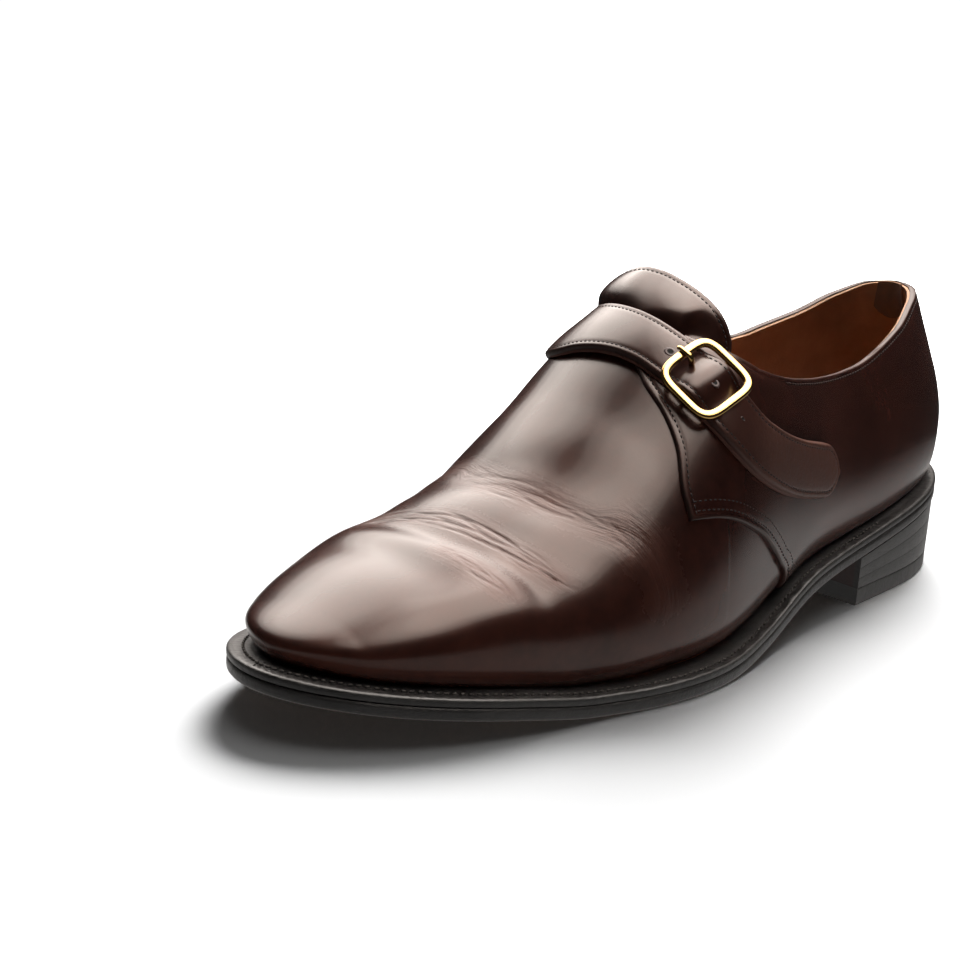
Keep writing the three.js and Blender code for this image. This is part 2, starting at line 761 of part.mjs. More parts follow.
// Frame of directions at the buckle: along the strap, across it and away from the shoe.
function buckleFrame() {
  const row = strapRow(BUCKLE_ROW);
  return { origin: row.here, forward: row.forward, up: row.up, across: cross(row.up, row.forward) };
}

function inFrame(frame, along, across, height) {
  return add(add(add(frame.origin, frame.forward, along), frame.across, across), frame.up, height);
}

// Round rod swept along a path of points.
function rod(path, radius, closed, sides = 8) {
  const skin = new Skin();
  const count = path.length;
  let reference = [0, 0, 1];
  const rings = path.map((point, k) => {
    const before = path[closed ? (k + count - 1) % count : Math.max(0, k - 1)];
    const after = path[closed ? (k + 1) % count : Math.min(count - 1, k + 1)];
    const forward = unit(add(after, before, -1));
    const first = unit(cross(forward, cross(reference, forward)));
    reference = first;
    const second = cross(forward, first);
    const size = typeof radius === "function" ? radius(k / (count - 1)) : radius;
    return range(sides).slice(0, -1).map((t) => {
      const turn = 2 * Math.PI * t;
      return add(add(point, first, Math.cos(turn) * size), second, Math.sin(turn) * size);
    });
  });
  const last = closed ? count : count - 1;
  for (let k = 0; k < last; k += 1) {
    const [a, b] = [rings[k], rings[(k + 1) % count]];
    a.forEach((point, j) => skin.quad(point, a[(j + 1) % sides], b[(j + 1) % sides], b[j]));
  }
  if (!closed) {
    cap(skin, rings[0], true);
    cap(skin, rings[count - 1], false);
  }
  return skin.solid();
}

function cap(skin, ring, reversed) {
  const ids = ring.map((point) => skin.id(point));
  for (let k = 1; k < ids.length - 1; k += 1) {
    if (reversed) {
      skin.triangle(ids[0], ids[k + 1], ids[k]);
    } else {
      skin.triangle(ids[0], ids[k], ids[k + 1]);
    }
  }
}

function buckle(frame) {
  const corners = [[1, 1], [-1, 1], [-1, -1], [1, -1]];
  const path = corners.flatMap(([a, b], k) => range(5).map((t) => {
    const turn = Math.PI / 2 * (k + t);
    const along = a * (BUCKLE_LONG - BUCKLE_CORNER) + BUCKLE_CORNER * Math.cos(turn);
    const across = b * (BUCKLE_ACROSS - BUCKLE_CORNER) + BUCKLE_CORNER * Math.sin(turn);
    return inFrame(frame, along, across, BUCKLE_HEIGHT - frameDrop(across));
  }));
  const bar = barPath(frame);
  return rod(path, BUCKLE_WIRE, true).add(rod(bar, BAR_WIRE, false)).simplify(SMALLEST_STEP);
}

// The frame is bowed slightly to follow the instep.
function frameDrop(across) {
  return 0.006 * across * across;
}

function barPath(frame) {
  const rows = [
    [-BUCKLE_ACROSS, BUCKLE_HEIGHT - 0.8],
    [-BUCKLE_ACROSS + 1.6, BAR_HEIGHT],
    [BUCKLE_ACROSS - 1.6, BAR_HEIGHT],
    [BUCKLE_ACROSS, BUCKLE_HEIGHT - 0.8],
  ];
  return rows.map(([across, height]) => inFrame(frame, 0, across, height));
}

function prongPath(frame) {
  const rows = [
    [0.2, 7.6],
    [-2.2, 7.9],
    [-6.0, 7.8],
    [-9.2, 8.0],
    [-11.8, 7.8],
  ];
  const run = rows.map((_, k) => k);
  const along = spline(run, rows.map((row) => row[0]));
  const height = spline(run, rows.map((row) => row[1]));
  return range(10).map((t) => {
    const q = t * (rows.length - 1);
    return inFrame(frame, along(q), 0, height(q));
  });
}

function prong(frame) {
  return rod(prongPath(frame), (t) => PRONG_WIRE * (1 - 0.3 * t), false);
}

function toThree(solid, name, material) {
  const mesh = solid.getMesh();
  const geometry = new THREE.BufferGeometry();
  geometry.setAttribute("position", new THREE.BufferAttribute(new Float32Array(mesh.vertProperties), 3));
  geometry.setIndex(new THREE.BufferAttribute(new Uint32Array(mesh.triVerts), 1));
  geometry.computeVertexNormals();
  const node = new THREE.Mesh(geometry, material);
  node.name = name;
  return node;
}

const frame = buckleFrame();
const shoe = new THREE.Group();
shoe.name = "monk_strap_shoe";
shoe.position.set(...CENTRE);
const nodes = [
  ["upper", upper(), LEATHER],
  ["tongue", tongue(), LEATHER],
  ["quarter_lateral", lateralQuarter(), LEATHER],
  ["quarter_medial_strap", medialQuarter(frame), LEATHER],
  ["heel_tab", heelTab(), LEATHER],
  ["insole", insole(), TAN],
  ["welt", welt(), EDGE],
  ["outsole", outsole(), EDGE],
  ["buckle_frame", buckle(frame), BRASS],
  ["buckle_prong", prong(frame), BRASS],
  ["heel_top_piece", heelLayer(0, 1), RUBBER],
];
range(LIFTS - 1).forEach((_, k) => nodes.push([`heel_lift_${k + 1}`, heelLayer(k + 1, k + 2), EDGE]));
nodes.forEach(([name, solid, material]) => shoe.add(toThree(solid, name, material)));

export default shoe;
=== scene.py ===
# %% [markdown]
# # A monk strap shoe in polished brown leather
# The shoe is built over one shape, the last, as a shoemaker builds it. Every piece of leather is
# a surface laid on the last at its own height: lining, upper, quarters, strap and tongue. So one
# formula for the last gives all of them, and a stitch or a crease is placed by where it lies on it.
# Lengths are millimetres until the moment a mesh is made, and then metres.

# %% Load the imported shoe
from math import cos, pi, radians, sin, sqrt, tan
import bpy
import numpy as np
from mathutils import Matrix, Vector


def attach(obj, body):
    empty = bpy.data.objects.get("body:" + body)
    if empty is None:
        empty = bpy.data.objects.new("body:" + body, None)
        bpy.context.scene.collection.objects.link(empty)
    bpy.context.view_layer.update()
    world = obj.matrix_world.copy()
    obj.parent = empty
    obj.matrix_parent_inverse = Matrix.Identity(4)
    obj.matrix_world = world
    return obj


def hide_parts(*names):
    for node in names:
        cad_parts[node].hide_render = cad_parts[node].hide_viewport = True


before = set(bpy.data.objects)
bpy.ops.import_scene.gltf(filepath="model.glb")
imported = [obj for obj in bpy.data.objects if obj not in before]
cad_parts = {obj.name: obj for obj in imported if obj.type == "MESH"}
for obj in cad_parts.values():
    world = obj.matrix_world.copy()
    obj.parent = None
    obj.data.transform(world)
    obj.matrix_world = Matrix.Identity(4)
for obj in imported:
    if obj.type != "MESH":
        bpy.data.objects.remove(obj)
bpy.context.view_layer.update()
MM = 0.001
CENTRE = np.array([-5.05, -0.14, 0.0])
print("solids in the frame:", sorted(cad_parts))

# %% [markdown]
# ## Curves through short tables
# A last is described by a few cross-sections. Two kinds of curve run through them: a steady one
# that never overshoots its rows, for heights, and a natural one that is smoother, for outlines.
# Both are cubic pieces, so one function works them out for a whole array at once.

# %% Curves
def hermite(xs, ys, slopes, x):
    """Cubic between two rows, from the heights and slopes at both of them."""
    k = np.clip(np.searchsorted(xs, x) - 1, 0, len(xs) - 2)
    h = xs[k + 1] - xs[k]
    t = (x - xs[k]) / h
    blend = (1 + 2 * t) * (1 - t) ** 2 * ys[k] + t * t * (3 - 2 * t) * ys[k + 1]
    return blend + h * t * (1 - t) * ((1 - t) * slopes[k] - t * slopes[k + 1])


def steady(xs, ys):
    """Curve that never overshoots: each slope is the harmonic mean of its neighbours' rises."""
    xs, ys = np.asarray(xs, float), np.asarray(ys, float)
    rise = np.diff(ys) / np.diff(xs)
    slopes = np.concatenate([rise[:1], np.zeros(len(xs) - 2), rise[-1:]])
    a, b = rise[:-1], rise[1:]
    turns = a * b <= 0
    slopes[1:-1] = np.where(turns, 0, 2 * a * b / np.where(turns, 1, a + b))
    return lambda x: hermite(xs, ys, slopes, np.clip(x, xs[0], xs[-1]))


def natural(xs, ys):
    """Smoothest curve through the rows: the bending is continuous and nothing at both ends."""
    xs, ys = np.asarray(xs, float), np.asarray(ys, float)
    h, rise, n = np.diff(xs), np.diff(ys) / np.diff(xs), len(xs)
    matrix, right = np.zeros((n, n)), np.zeros(n)
    matrix[0, :2], right[0] = (2, 1), 3 * rise[0]
    matrix[-1, -2:], right[-1] = (1, 2), 3 * rise[-1]
    for k in range(1, n - 1):
        matrix[k, k - 1:k + 2] = h[k], 2 * (h[k - 1] + h[k]), h[k - 1]
        right[k] = 3 * (h[k] * rise[k - 1] + h[k - 1] * rise[k])
    slopes = np.linalg.solve(matrix, right)
    return lambda x: hermite(xs, ys, slopes, x)


def round_ended(at, half, length):
    """Half width over a length that closes at both ends like an ellipse."""
    def ellipse(x):
        return np.sqrt(np.maximum(x * (length - x), 1e-9)) / (length / 2)
    curve = natural(at, half / ellipse(at))
    return lambda x: curve(x) * ellipse(x)


def ease(t):
    """Smooth step from 0 to 1."""
    t = np.clip(t, 0, 1)
    return t * t * (3 - 2 * t)


# %% [markdown]
# ## The last
# "at" runs from the heel back to the toe and "side" from -1 at the inside welt line, over 0 on
# the ridge, to 1 at the outside welt line. The upper part of each section is a rounded arch, and
# the lower part tucks in to the welt, which is what gives a welted shoe its dark crevice.

# %% Tables of the sole and the last
SOLE_LENGTH, UPPER_LENGTH, UPPER_START = 304.0, 297.0, 1.0
WELT_HEIGHT, OUTSOLE_THICK, UPPER_CLEAR = 6.6, 4.0, 0.4
SOLE = np.array([  # at, lateral half width, medial half width
    [12, 22.9, 23.5], [30, 33.2, 31.5], [55, 38.8, 33.0], [85, 41.6, 31.1],
    [115, 45.6, 29.6], [145, 51.9, 32.1], [175, 58.2, 39.9], [200, 57.9, 46.9],
    [220, 54.0, 48.6], [245, 49.0, 45.0], [268, 40.9, 37.5], [288, 28.6, 28.0]]).T
UNDERSIDE = np.array([  # at, height: heel seat, arch, tread on the floor, toe spring
    [0, 28.3], [40, 23.2], [82, 17.1], [115, 12.6], [150, 3.4], [172, 0.4],
    [185, 0], [205, 0], [225, 0.9], [250, 4.5], [280, 8.6], [304, 12.3]]).T
LAST = np.array([  # at, lateral, medial, tuck, belly, top, fullness, lean
    [6, 16.2, 16.2, 2.5, 22, 118, -0.05, 0], [20, 26.6, 25.6, 3.0, 22, 116, -0.06, 0],
    [40, 33.0, 30.0, 3.5, 21, 114, -0.06, 0], [65, 36.6, 31.0, 4.0, 20, 116, -0.06, -1],
    [90, 38.8, 30.8, 5.0, 18, 117, -0.05, -2.5], [115, 42.5, 31.0, 6.0, 17, 117, -0.02, -4.5],
    [140, 47.5, 32.5, 6.0, 15, 110, 0.02, -6], [165, 52.5, 37.5, 5.5, 14, 95.5, 0.035, -6],
    [190, 53.8, 42.5, 5.0, 13, 75.5, 0.01, -4.2], [210, 51.5, 43.8, 4.5, 13, 60.5, 0, -2],
    [230, 47.5, 42.5, 4.0, 13, 49.5, 0, -0.6], [250, 42.5, 39.5, 4.0, 12, 42.8, 0.03, 0.2],
    [268, 35.2, 33.7, 3.8, 9.4, 37.4, 0.015, 0.3], [284, 25.0, 25.0, 3.5, 7, 32, 0.0, 0.1]]).T
BACK = np.array([  # height over the welt, how far the back leans forward
    [0, 2.5], [8, 1.2], [18, 1.6], [32, 5.0], [45, 9.5], [58, 12.5], [70, 13.5], [120, 13.5]]).T
BACK_FADE, TOE_TUCK, TOE_TUCK_FROM = 110.0, 3.0, 230.0
TOE_ROUND, TOE_POWER, TOE_BELLY, TOE_TOP = 30.0, 3.0, 0.6, 29.0
BELLY, TUCK_TURN, TUCK_FULL = 0.8, radians(70), 40.0

sole_lateral = round_ended(SOLE[0], SOLE[1], SOLE_LENGTH)
sole_medial = round_ended(SOLE[0], SOLE[2], SOLE_LENGTH)
underside = steady(*UNDERSIDE)
last_lateral = round_ended(LAST[0], LAST[1], UPPER_LENGTH)
last_medial = round_ended(LAST[0], LAST[2], UPPER_LENGTH)
tuck_of, belly_of, top_of, full_of, lean_of = (steady(LAST[0], LAST[k]) for k in range(3, 8))
top_of = steady(np.append(LAST[0], UPPER_LENGTH), np.append(LAST[5], TOE_TOP))
back_of = steady(*BACK)


# %% Points and normals of the last
def s_of(at):
    """Station number 0..1 whose place is at, packed closer towards both ends."""
    return np.arccos(np.clip(1 - 2 * (np.asarray(at, float) - UPPER_START) / UPPER_LENGTH, -1, 1)) / pi


def at_of(s):
    """Distance from the heel back at a station number."""
    return UPPER_LENGTH * (1 - np.cos(pi * s)) / 2 + UPPER_START


def welt_top(at):
    """Height of the welt's upper face."""
    return underside(np.clip(at, 0, SOLE_LENGTH)) + WELT_HEIGHT


def last_point(s, side):
    """Arch over the belly line and a quarter turn tucking in below it, leaning at the heel."""
    s, side = np.broadcast_arrays(np.asarray(s, float), np.asarray(side, float))
    at = at_of(s)
    a = at - UPPER_START
    lateral, medial = last_lateral(a), last_medial(a)
    into_toe = np.clip((a - UPPER_LENGTH + TOE_ROUND) / TOE_ROUND, 0, 1)
    toe = (1 - into_toe ** TOE_POWER) ** (1 / TOE_POWER)
    floor = welt_top(at) + UPPER_CLEAR
    belly = belly_of(a) * (TOE_BELLY + (1 - TOE_BELLY) * toe)
    rise = (top_of(a) - floor - belly_of(a)) * toe
    across = np.abs(side)
    turn = pi / 2 * (1 - np.clip(side / BELLY, -1, 1))
    full = full_of(a)
    wide = (1 + full) * np.cos(turn) - full * np.cos(3 * turn)
    tall = (1 + full) * np.sin(turn) + full * np.sin(3 * turn)
    lean = np.where(s <= 0, 0, lean_of(a) * toe) * np.sin(turn) ** 3
    high_x = (lateral - medial) / 2 + (lateral + medial) / 2 * wide + lean
    drop = np.clip((across - BELLY) / (1 - BELLY), 0, 1) * TUCK_TURN
    near = np.minimum(1, np.sqrt(np.maximum(0, a * (UPPER_LENGTH - a))) / TUCK_FULL)
    inset = tuck_of(a) * near * (1 - np.cos(drop)) / (1 - cos(TUCK_TURN))
    low_x = np.where(side > 0, lateral - inset, inset - medial)
    high = across <= BELLY
    x = np.where(high, high_x, low_x)
    height = np.where(high, belly + rise * tall, belly * (1 - np.sin(drop) / sin(TUCK_TURN)))
    forward = back_of(height) * np.clip((BACK_FADE - at) / BACK_FADE, 0, 1) ** 2
    low = (1 - np.clip(height / belly, 0, 1)) ** 2
    toeward = np.clip((at - TOE_TUCK_FROM) / (UPPER_LENGTH + UPPER_START - TOE_TUCK_FROM), 0, 1)
    y = SOLE_LENGTH / 2 - at - forward + TOE_TUCK * low * toeward ** 2
    return np.stack([x, y, floor + height], -1)


def unit(v):
    """Vectors of length one."""
    return v / np.maximum(np.linalg.norm(v, axis=-1, keepdims=True), 1e-12)


def outward(s, side):
    """Cross product of the two tangents, made level below the belly line."""
    s, side = np.broadcast_arrays(np.asarray(s, float), np.asarray(side, float))
    step = 2e-4
    s = np.clip(s, step, 1 - 2 * step)
    side = np.clip(side, -1 + step, 1 - step)
    along = last_point(s + step, side) - last_point(s - step, side)
    across = last_point(s, side + step) - last_point(s, side - step)
    normal = unit(np.cross(along, across))
    normal[..., 2] *= 1 - ease((np.abs(side) - BELLY) / (1 - BELLY) * 2)
    return unit(normal)


print("toe tip of the last:", last_point(1.0, 0.9).round(1), "heel back:", last_point(0.0, 0.9).round(1))

# %% [markdown]
# ## Creases
# A worn shoe creases where the foot bends: a few bundles of fine wrinkles run across the vamp
# behind the toes, with soft rolls between them. Each is a trough in the leather whose place along
# the shoe is a curve over "side". A bell curve across it gives the depth, and it fades at its ends.

# %% Creases of the vamp
ROLLS = [  # depth, half width, sides, places along the shoe
    (0.62, 3.8, [-0.42, -0.2, 0.07, 0.22, 0.385, 0.52, 0.64], [246, 244.8, 244.3, 242.4, 239.4, 238, 238]),
    (0.42, 4.5, [-0.5, -0.1, 0.12, 0.3, 0.45, 0.6], [222, 220, 219.5, 215.8, 208.5, 200]),
    (0.5, 5.0, [-0.62, -0.4, -0.2, -0.05, 0.1], [206, 210.8, 213.6, 214.6, 214]),
    (0.5, 6.5, [-0.55, -0.3, 0.0, 0.2, 0.42], [263, 258, 256.5, 258, 262]),
    (-0.5, 6.5, [-0.5, -0.2, 0.1, 0.3, 0.5], [231, 229, 228.4, 225, 220]),
    (-0.35, 5.0, [-0.45, -0.15, 0.15, 0.35], [252.6, 251.5, 251.2, 250.6]),
    (-0.35, 8.0, [-0.3, -0.05, 0.15, 0.3], [203, 202.5, 200, 196]),
]
BUNDLES = [  # depth, spread, lines, sides, places along the shoe
    (0.22, 2.8, 7, [-0.5, -0.235, 0.01, 0.195, 0.315, 0.465, 0.6], [243.5, 240.4, 237.0, 236.6, 235.0, 231.2, 225.5]),
    (0.16, 2.0, 5, [0.04, 0.12, 0.22, 0.355, 0.45, 0.58], [249.6, 249.2, 248.8, 248.2, 247, 244.8]),
    (0.13, 2.6, 5, [-0.22, -0.02, 0.12, 0.235, 0.315, 0.415, 0.52], [221, 219.6, 218.8, 217.2, 214.4, 210, 203]),
    (0.14, 4.2, 5, [0.34, 0.42, 0.52, 0.615, 0.71, 0.8], [209, 206.4, 203, 200.6, 199.6, 202]),
    (0.14, 2.2, 3, [-0.46, -0.36, -0.2, -0.08, 0.02], [211, 212, 215, 217.4, 218.4]),
]


def bell(x):
    """Bell curve: 1 at zero, fading on both sides."""
    return np.exp(-x ** 2)


def fading(side, sides, run=0.12):
    """1 between the two ends of a crease and easing to 0 over a run at each."""
    return ease((side - sides[0]) / run) * ease((sides[-1] - side) / run)


def creases(at, side):
    """Soft rolls, and bundles of fine lines that wander a little and stop at different places."""
    total = np.zeros_like(at)
    for depth, width, sides, places in ROLLS:
        total -= depth * fading(side, sides, 0.18) * bell((at - steady(sides, places)(side)) / width)
    for number, (depth, spread, lines, sides, places) in enumerate(BUNDLES):
        middle = steady(sides, places)(side)
        for line in range(lines):
            share = 2 * line / (lines - 1) - 1
            own = number * 1.7 + line * 2.3
            wander = 0.5 * np.sin(side * (11 + line) + own) + 0.25 * np.sin(side * 31 + own * 2)
            gathered = 1 - 0.45 * bell((side - sides[-1] + 0.1) / 0.12)
            short = 0.1 * (1 + np.sin(own * 3))
            ends = [sides[0] + short, sides[-1] - 0.06 * (1 + np.cos(own * 5))]
            pulse = 0.6 + 0.4 * np.sin(side * (17 + 3 * line) + own * 4)
            total -= depth * pulse * fading(side, ends) * bell((at - middle - share * spread * gathered - wander) / 0.44)
    return total


def crease_fields(at, side):
    """How near a bundle is, 0..1, and the distance across it, for the skin's fine wrinkles."""
    near, lane = np.full_like(at, 0.01), np.zeros_like(at)
    for _, spread, _, sides, places in BUNDLES:
        gap = at - steady(sides, places)(side)
        share = fading(side, sides) * bell(gap / (1.5 * spread + 0.8))
        near += share
        lane += share * gap
    return np.minimum(1, near), lane / near


def slack(at, side):
    """Long shallow waves that thin leather keeps between its creases."""
    wave = np.sin(at * 0.21 + side * 5.0) * np.sin(side * 7.0 + at * 0.05)
    return 0.16 * wave * np.exp(-((at - 222) / 34) ** 2)


def on_last(s, side, lift):
    """Point of the last pushed out along its normal, with the leather's creases."""
    at = at_of(s)
    shift = lift + creases(at, side) + slack(at, side)
    return last_point(s, side) + outward(s, side) * np.asarray(shift)[..., None]


# %% [markdown]
# ## From grids to closed pieces
# Each piece is worked out as closed loops of points, one behind the other, so its faces are a
# grid and its two ends are capped. Points that fall together, at a toe tip or along a back seam,
# are merged, faces that lost a corner are dropped, and the volume says which way is out.

# %% Mesh helpers
def merged(points, faces):
    """Points rounded together, with faces that lost a corner dropped and twins cancelled."""
    keys = np.round(points, 4)
    _, first, back = np.unique(keys, axis=0, return_index=True, return_inverse=True)
    faces = back.reshape(-1)[faces]
    a, b, c = faces.T
    faces = faces[(a != b) & (b != c) & (a != c)]
    _, index, where, count = np.unique(
        np.sort(faces, 1), axis=0, return_index=True, return_inverse=True, return_counts=True)
    faces = faces[count[where.reshape(-1)] == 1]
    return first, faces


def volume(points, faces):
    """Six times the signed volume under the faces, which is positive if they point outwards."""
    a, b, c = (points[faces[:, k]] for k in range(3))
    return float(np.einsum("ij,ij->i", a, np.cross(b, c)).sum())


def triangles(quads):
    """Two triangles for each quad."""
    return np.concatenate([quads[:, [0, 1, 2]], quads[:, [0, 2, 3]]])


def make_piece(name, points, faces, fields=None, sharp=50):
    """Closed mesh in metres, with its faces outwards and its own numbers on the points."""
    points = np.asarray(points, float).reshape(-1, 3)
    first, faces = merged(points, np.asarray(faces, int))
    points = points[first]
    if volume(points - points.mean(0), faces) < 0:
        faces = faces[:, ::-1]
    mesh = bpy.data.meshes.new(name)
    mesh.from_pydata((points + CENTRE) * MM, [], faces.tolist())
    for key, values in (fields or {}).items():
        layer = mesh.attributes.new(key, "FLOAT", "POINT")
        layer.data.foreach_set("value", np.asarray(values, np.float32).reshape(-1)[first])
    mesh.shade_smooth()
    mesh.set_sharp_from_angle(angle=radians(sharp))
    mesh.validate()
    piece = bpy.data.objects.new(name, mesh)
    bpy.context.scene.collection.objects.link(piece)
    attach(piece, "root")
    size = np.ptp(points, axis=0)
    print(f"{name}: {len(faces)} triangles, {size[0]:.1f} x {size[1]:.1f} x {size[2]:.1f} mm")
    return piece


def loops_to_faces(rows, count, closed=False):
    """Faces between neighbouring loops of points, and caps where the run is open."""
    index = np.arange(rows * count).reshape(rows, count)
    here = index if closed else index[:-1]
    ahead = np.roll(index, -1, 0) if closed else index[1:]
    quads = np.stack([here, np.roll(here, -1, 1), np.roll(ahead, -1, 1), ahead], -1).reshape(-1, 4)
    if closed:
        return triangles(quads)
    half = count // 2
    k = np.arange(half - 1)
    caps = [loop[np.stack([k, k + 1, count - 2 - k, count - 1 - k], -1)] for loop in (index[0], index[-1])]
    caps[0] = caps[0][:, ::-1]
    return triangles(np.concatenate([quads, *[cap[:, ::-1] for cap in caps]]))


def nearest(points, line):
    """Distance of each point to the nearest point of a densely sampled line."""
    flat = points.reshape(-1, 3)
    best = np.full(len(flat), 1e9)
    for k in range(0, len(flat), 2000):
        gap = flat[k:k + 2000, None, :] - line[None]
        best[k:k + 2000] = np.sqrt((gap ** 2).sum(-1).min(1))
    return best.reshape(points.shape[:-1])


# %% [markdown]
# ## A panel of leather
# A panel is ruled between a low edge and a high edge on the last. Its lines are packed closely
# near the edges, because that is where the form is: the leather rounds over at its edge, and a
# seam pulls a fine furrow a short way in. The distance to the edge is measured in space.

# %% Panels
EDGE_STEPS = np.array([0, 0.12, 0.3, 0.55, 0.9, 1.3, 1.65, 1.95, 2.3, 2.8, 3.6])


def edge_line(rows):
    """Curve through [at, side] rows by the length along it; returns stations and sides."""
    rows = np.asarray(rows, float)
    s, side = s_of(rows[:, 0]), rows[:, 1]
    run = np.concatenate([[0], np.cumsum(np.hypot(np.diff(s) * 3, np.diff(side)))])
    run = run / run[-1]
    return lambda t: np.stack([steady(run, s)(t), steady(run, side)(t)], -1)


def packed_steps(low, high, count):
    """Shares 0..1 across each row: fixed distances at both edges and even steps between."""
    a, b = last_point(*low.T), last_point(*high.T)
    middle = last_point(*((low + high) / 2).T)
    length = np.linalg.norm(a - middle, axis=1) + np.linalg.norm(b - middle, axis=1)
    near = EDGE_STEPS[None] / np.maximum(length, 1e-6)[:, None]
    near = np.minimum(near, np.linspace(0, 0.42, len(EDGE_STEPS))[None])
    inner = np.linspace(0, 1, count + 2)[1:-1][None]
    start, stop = near[:, -1:], 1 - near[:, -1:]
    return np.concatenate([near, start + (stop - start) * inner, 1 - near[:, ::-1]], 1)


def rounded(gap, radius):
    """Quarter round: 0 at the edge, 1 once the gap reaches the radius."""
    share = np.clip(gap / radius, 0, 1)
    return np.sqrt(np.maximum(0, 1 - (1 - share) ** 2))


def panel(low, high, bottom, top, count, border, seams=(), radius=0.8, furrow=0.13):
    """Loops of a leather panel: top face with rounded edges and seam furrows, then its back."""
    steps = packed_steps(low, high, count)
    place = low[:, None, :] + (high - low)[:, None, :] * steps[..., None]
    s, side = place[..., 0], place[..., 1]
    gap = nearest(last_point(s, side), border)
    base, roof = bottom(s, side, steps), top(s, side, steps)
    lift = base + (roof - base) * (0.12 + 0.88 * rounded(gap, radius))
    for seam in seams:
        lift = lift - furrow * np.exp(-((gap - seam) / 0.45) ** 2)
    outer = on_last(s, side, lift)
    inner = on_last(s, side, base)
    loops = np.concatenate([outer, inner[:, ::-1]], 1)
    rim = np.exp(-(gap / 0.7) ** 2)
    fields = {
        "rim": np.concatenate([rim, np.ones_like(rim)], 1),
        "gap": np.concatenate([gap, np.zeros_like(gap)], 1),
        "at": np.concatenate([at_of(s), at_of(s)[:, ::-1]], 1),
        "side": np.concatenate([side, side[:, ::-1]], 1),
    }
    return loops, fields


def panel_piece(name, loops, fields, *nodes):
    """Mesh of a panel's loops, standing for CAD nodes."""
    rows, count = loops.shape[:2]
    piece = make_piece(name, loops, loops_to_faces(rows, count), fields)
    if nodes:
        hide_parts(*nodes)
    return piece


# %% Edges of the panels
LATERAL_COLLAR = [[1, 0.36], [20, 0.38], [44, 0.425], [64, 0.465], [80, 0.485], [94, 0.49],
                  [112, 0.493], [123, 0.485], [131.6, 0.466]]
LATERAL_RISE = [[131.6, 0.466], [138, 0.443], [144.5, 0.41]]
LATERAL_FLAP = [[144.5, 0.41], [149.5, 0.365], [154.5, 0.305], [158.2, 0.25], [160.3, 0.2]]
LATERAL_WING = [[131.6, 1], [133.5, 0.93], [139, 0.825], [152.2, 0.725], [163, 0.67], [179, 0.588], [187, 0.55]]
LATERAL_FRONT = [[187, 0.55], [186.6, 0.485], [182.5, 0.38], [180.2, 0.29], [178.4, 0.2], [175.5, 0.135]]
MEDIAL_COLLAR = [[1, -0.36], [20, -0.38], [44, -0.42], [64, -0.45], [80, -0.465], [102, -0.465],
                 [112, -0.452], [131.6, -0.385]]
MEDIAL_RISE = [[140, -0.352], [146, -0.32], [152, -0.285]]
MEDIAL_WING = [[131.6, -1], [133.5, -0.93], [139, -0.84], [152, -0.755], [164, -0.7], [176, -0.66]]
MEDIAL_FRONT = [[176, -0.66], [173, -0.58], [171, -0.49], [170.5, -0.425], [171.5, -0.35], [174.5, -0.27]]
MEDIAL_THROAT = [[142, -0.345], [152, -0.31], [160.3, -0.26]]
THROAT, FLAP_END, BACK_SEAM = 172.0, 160.3, 0.0012
WING_S = s_of(FLAP_END) * 15 / 17


def topline(hand):
    """Side at which the wall ends on one side of the shoe, for each station."""
    rows = (LATERAL_COLLAR + LATERAL_RISE[1:] + LATERAL_FLAP[1:]) if hand > 0 else (MEDIAL_COLLAR + MEDIAL_THROAT)
    rows = np.array(rows, float)
    curve = steady(s_of(rows[:, 0]), rows[:, 1])
    start, end = s_of(rows[-1, 0]), s_of(THROAT)

    def top(s):
        share = np.clip((s - start) / (end - start), 0, 1)
        return np.where(s <= start, curve(s), rows[-1, 1] * np.sqrt(np.maximum(0, 1 - share ** 2)))
    return top


# %% [markdown]
# ## Upper and lining
# The upper is one thin wall round the whole foot: the brown leather outside and a tan lining
# inside it. Its two halves are grids from the welt line up to the collar, and in front of the
# throat up to the ridge, where they meet and merge into one surface.

# %% Upper and lining
def wall_rows():
    """Stations of the upper: coarse where the quarters cover it, fine over the vamp."""
    stops = s_of(np.array([1, 150, THROAT, 194, 256, 264, 298]))
    rows = (21, 25, 17, 141, 8, 42)
    runs = [np.linspace(a, b, n)[:-1] for a, b, n in zip(stops, stops[1:], rows)]
    runs[1] = stops[2] - (stops[2] - stops[1]) * np.linspace(1, 0, rows[1])[:-1] ** 2
    return np.concatenate([*runs, [1.0]])


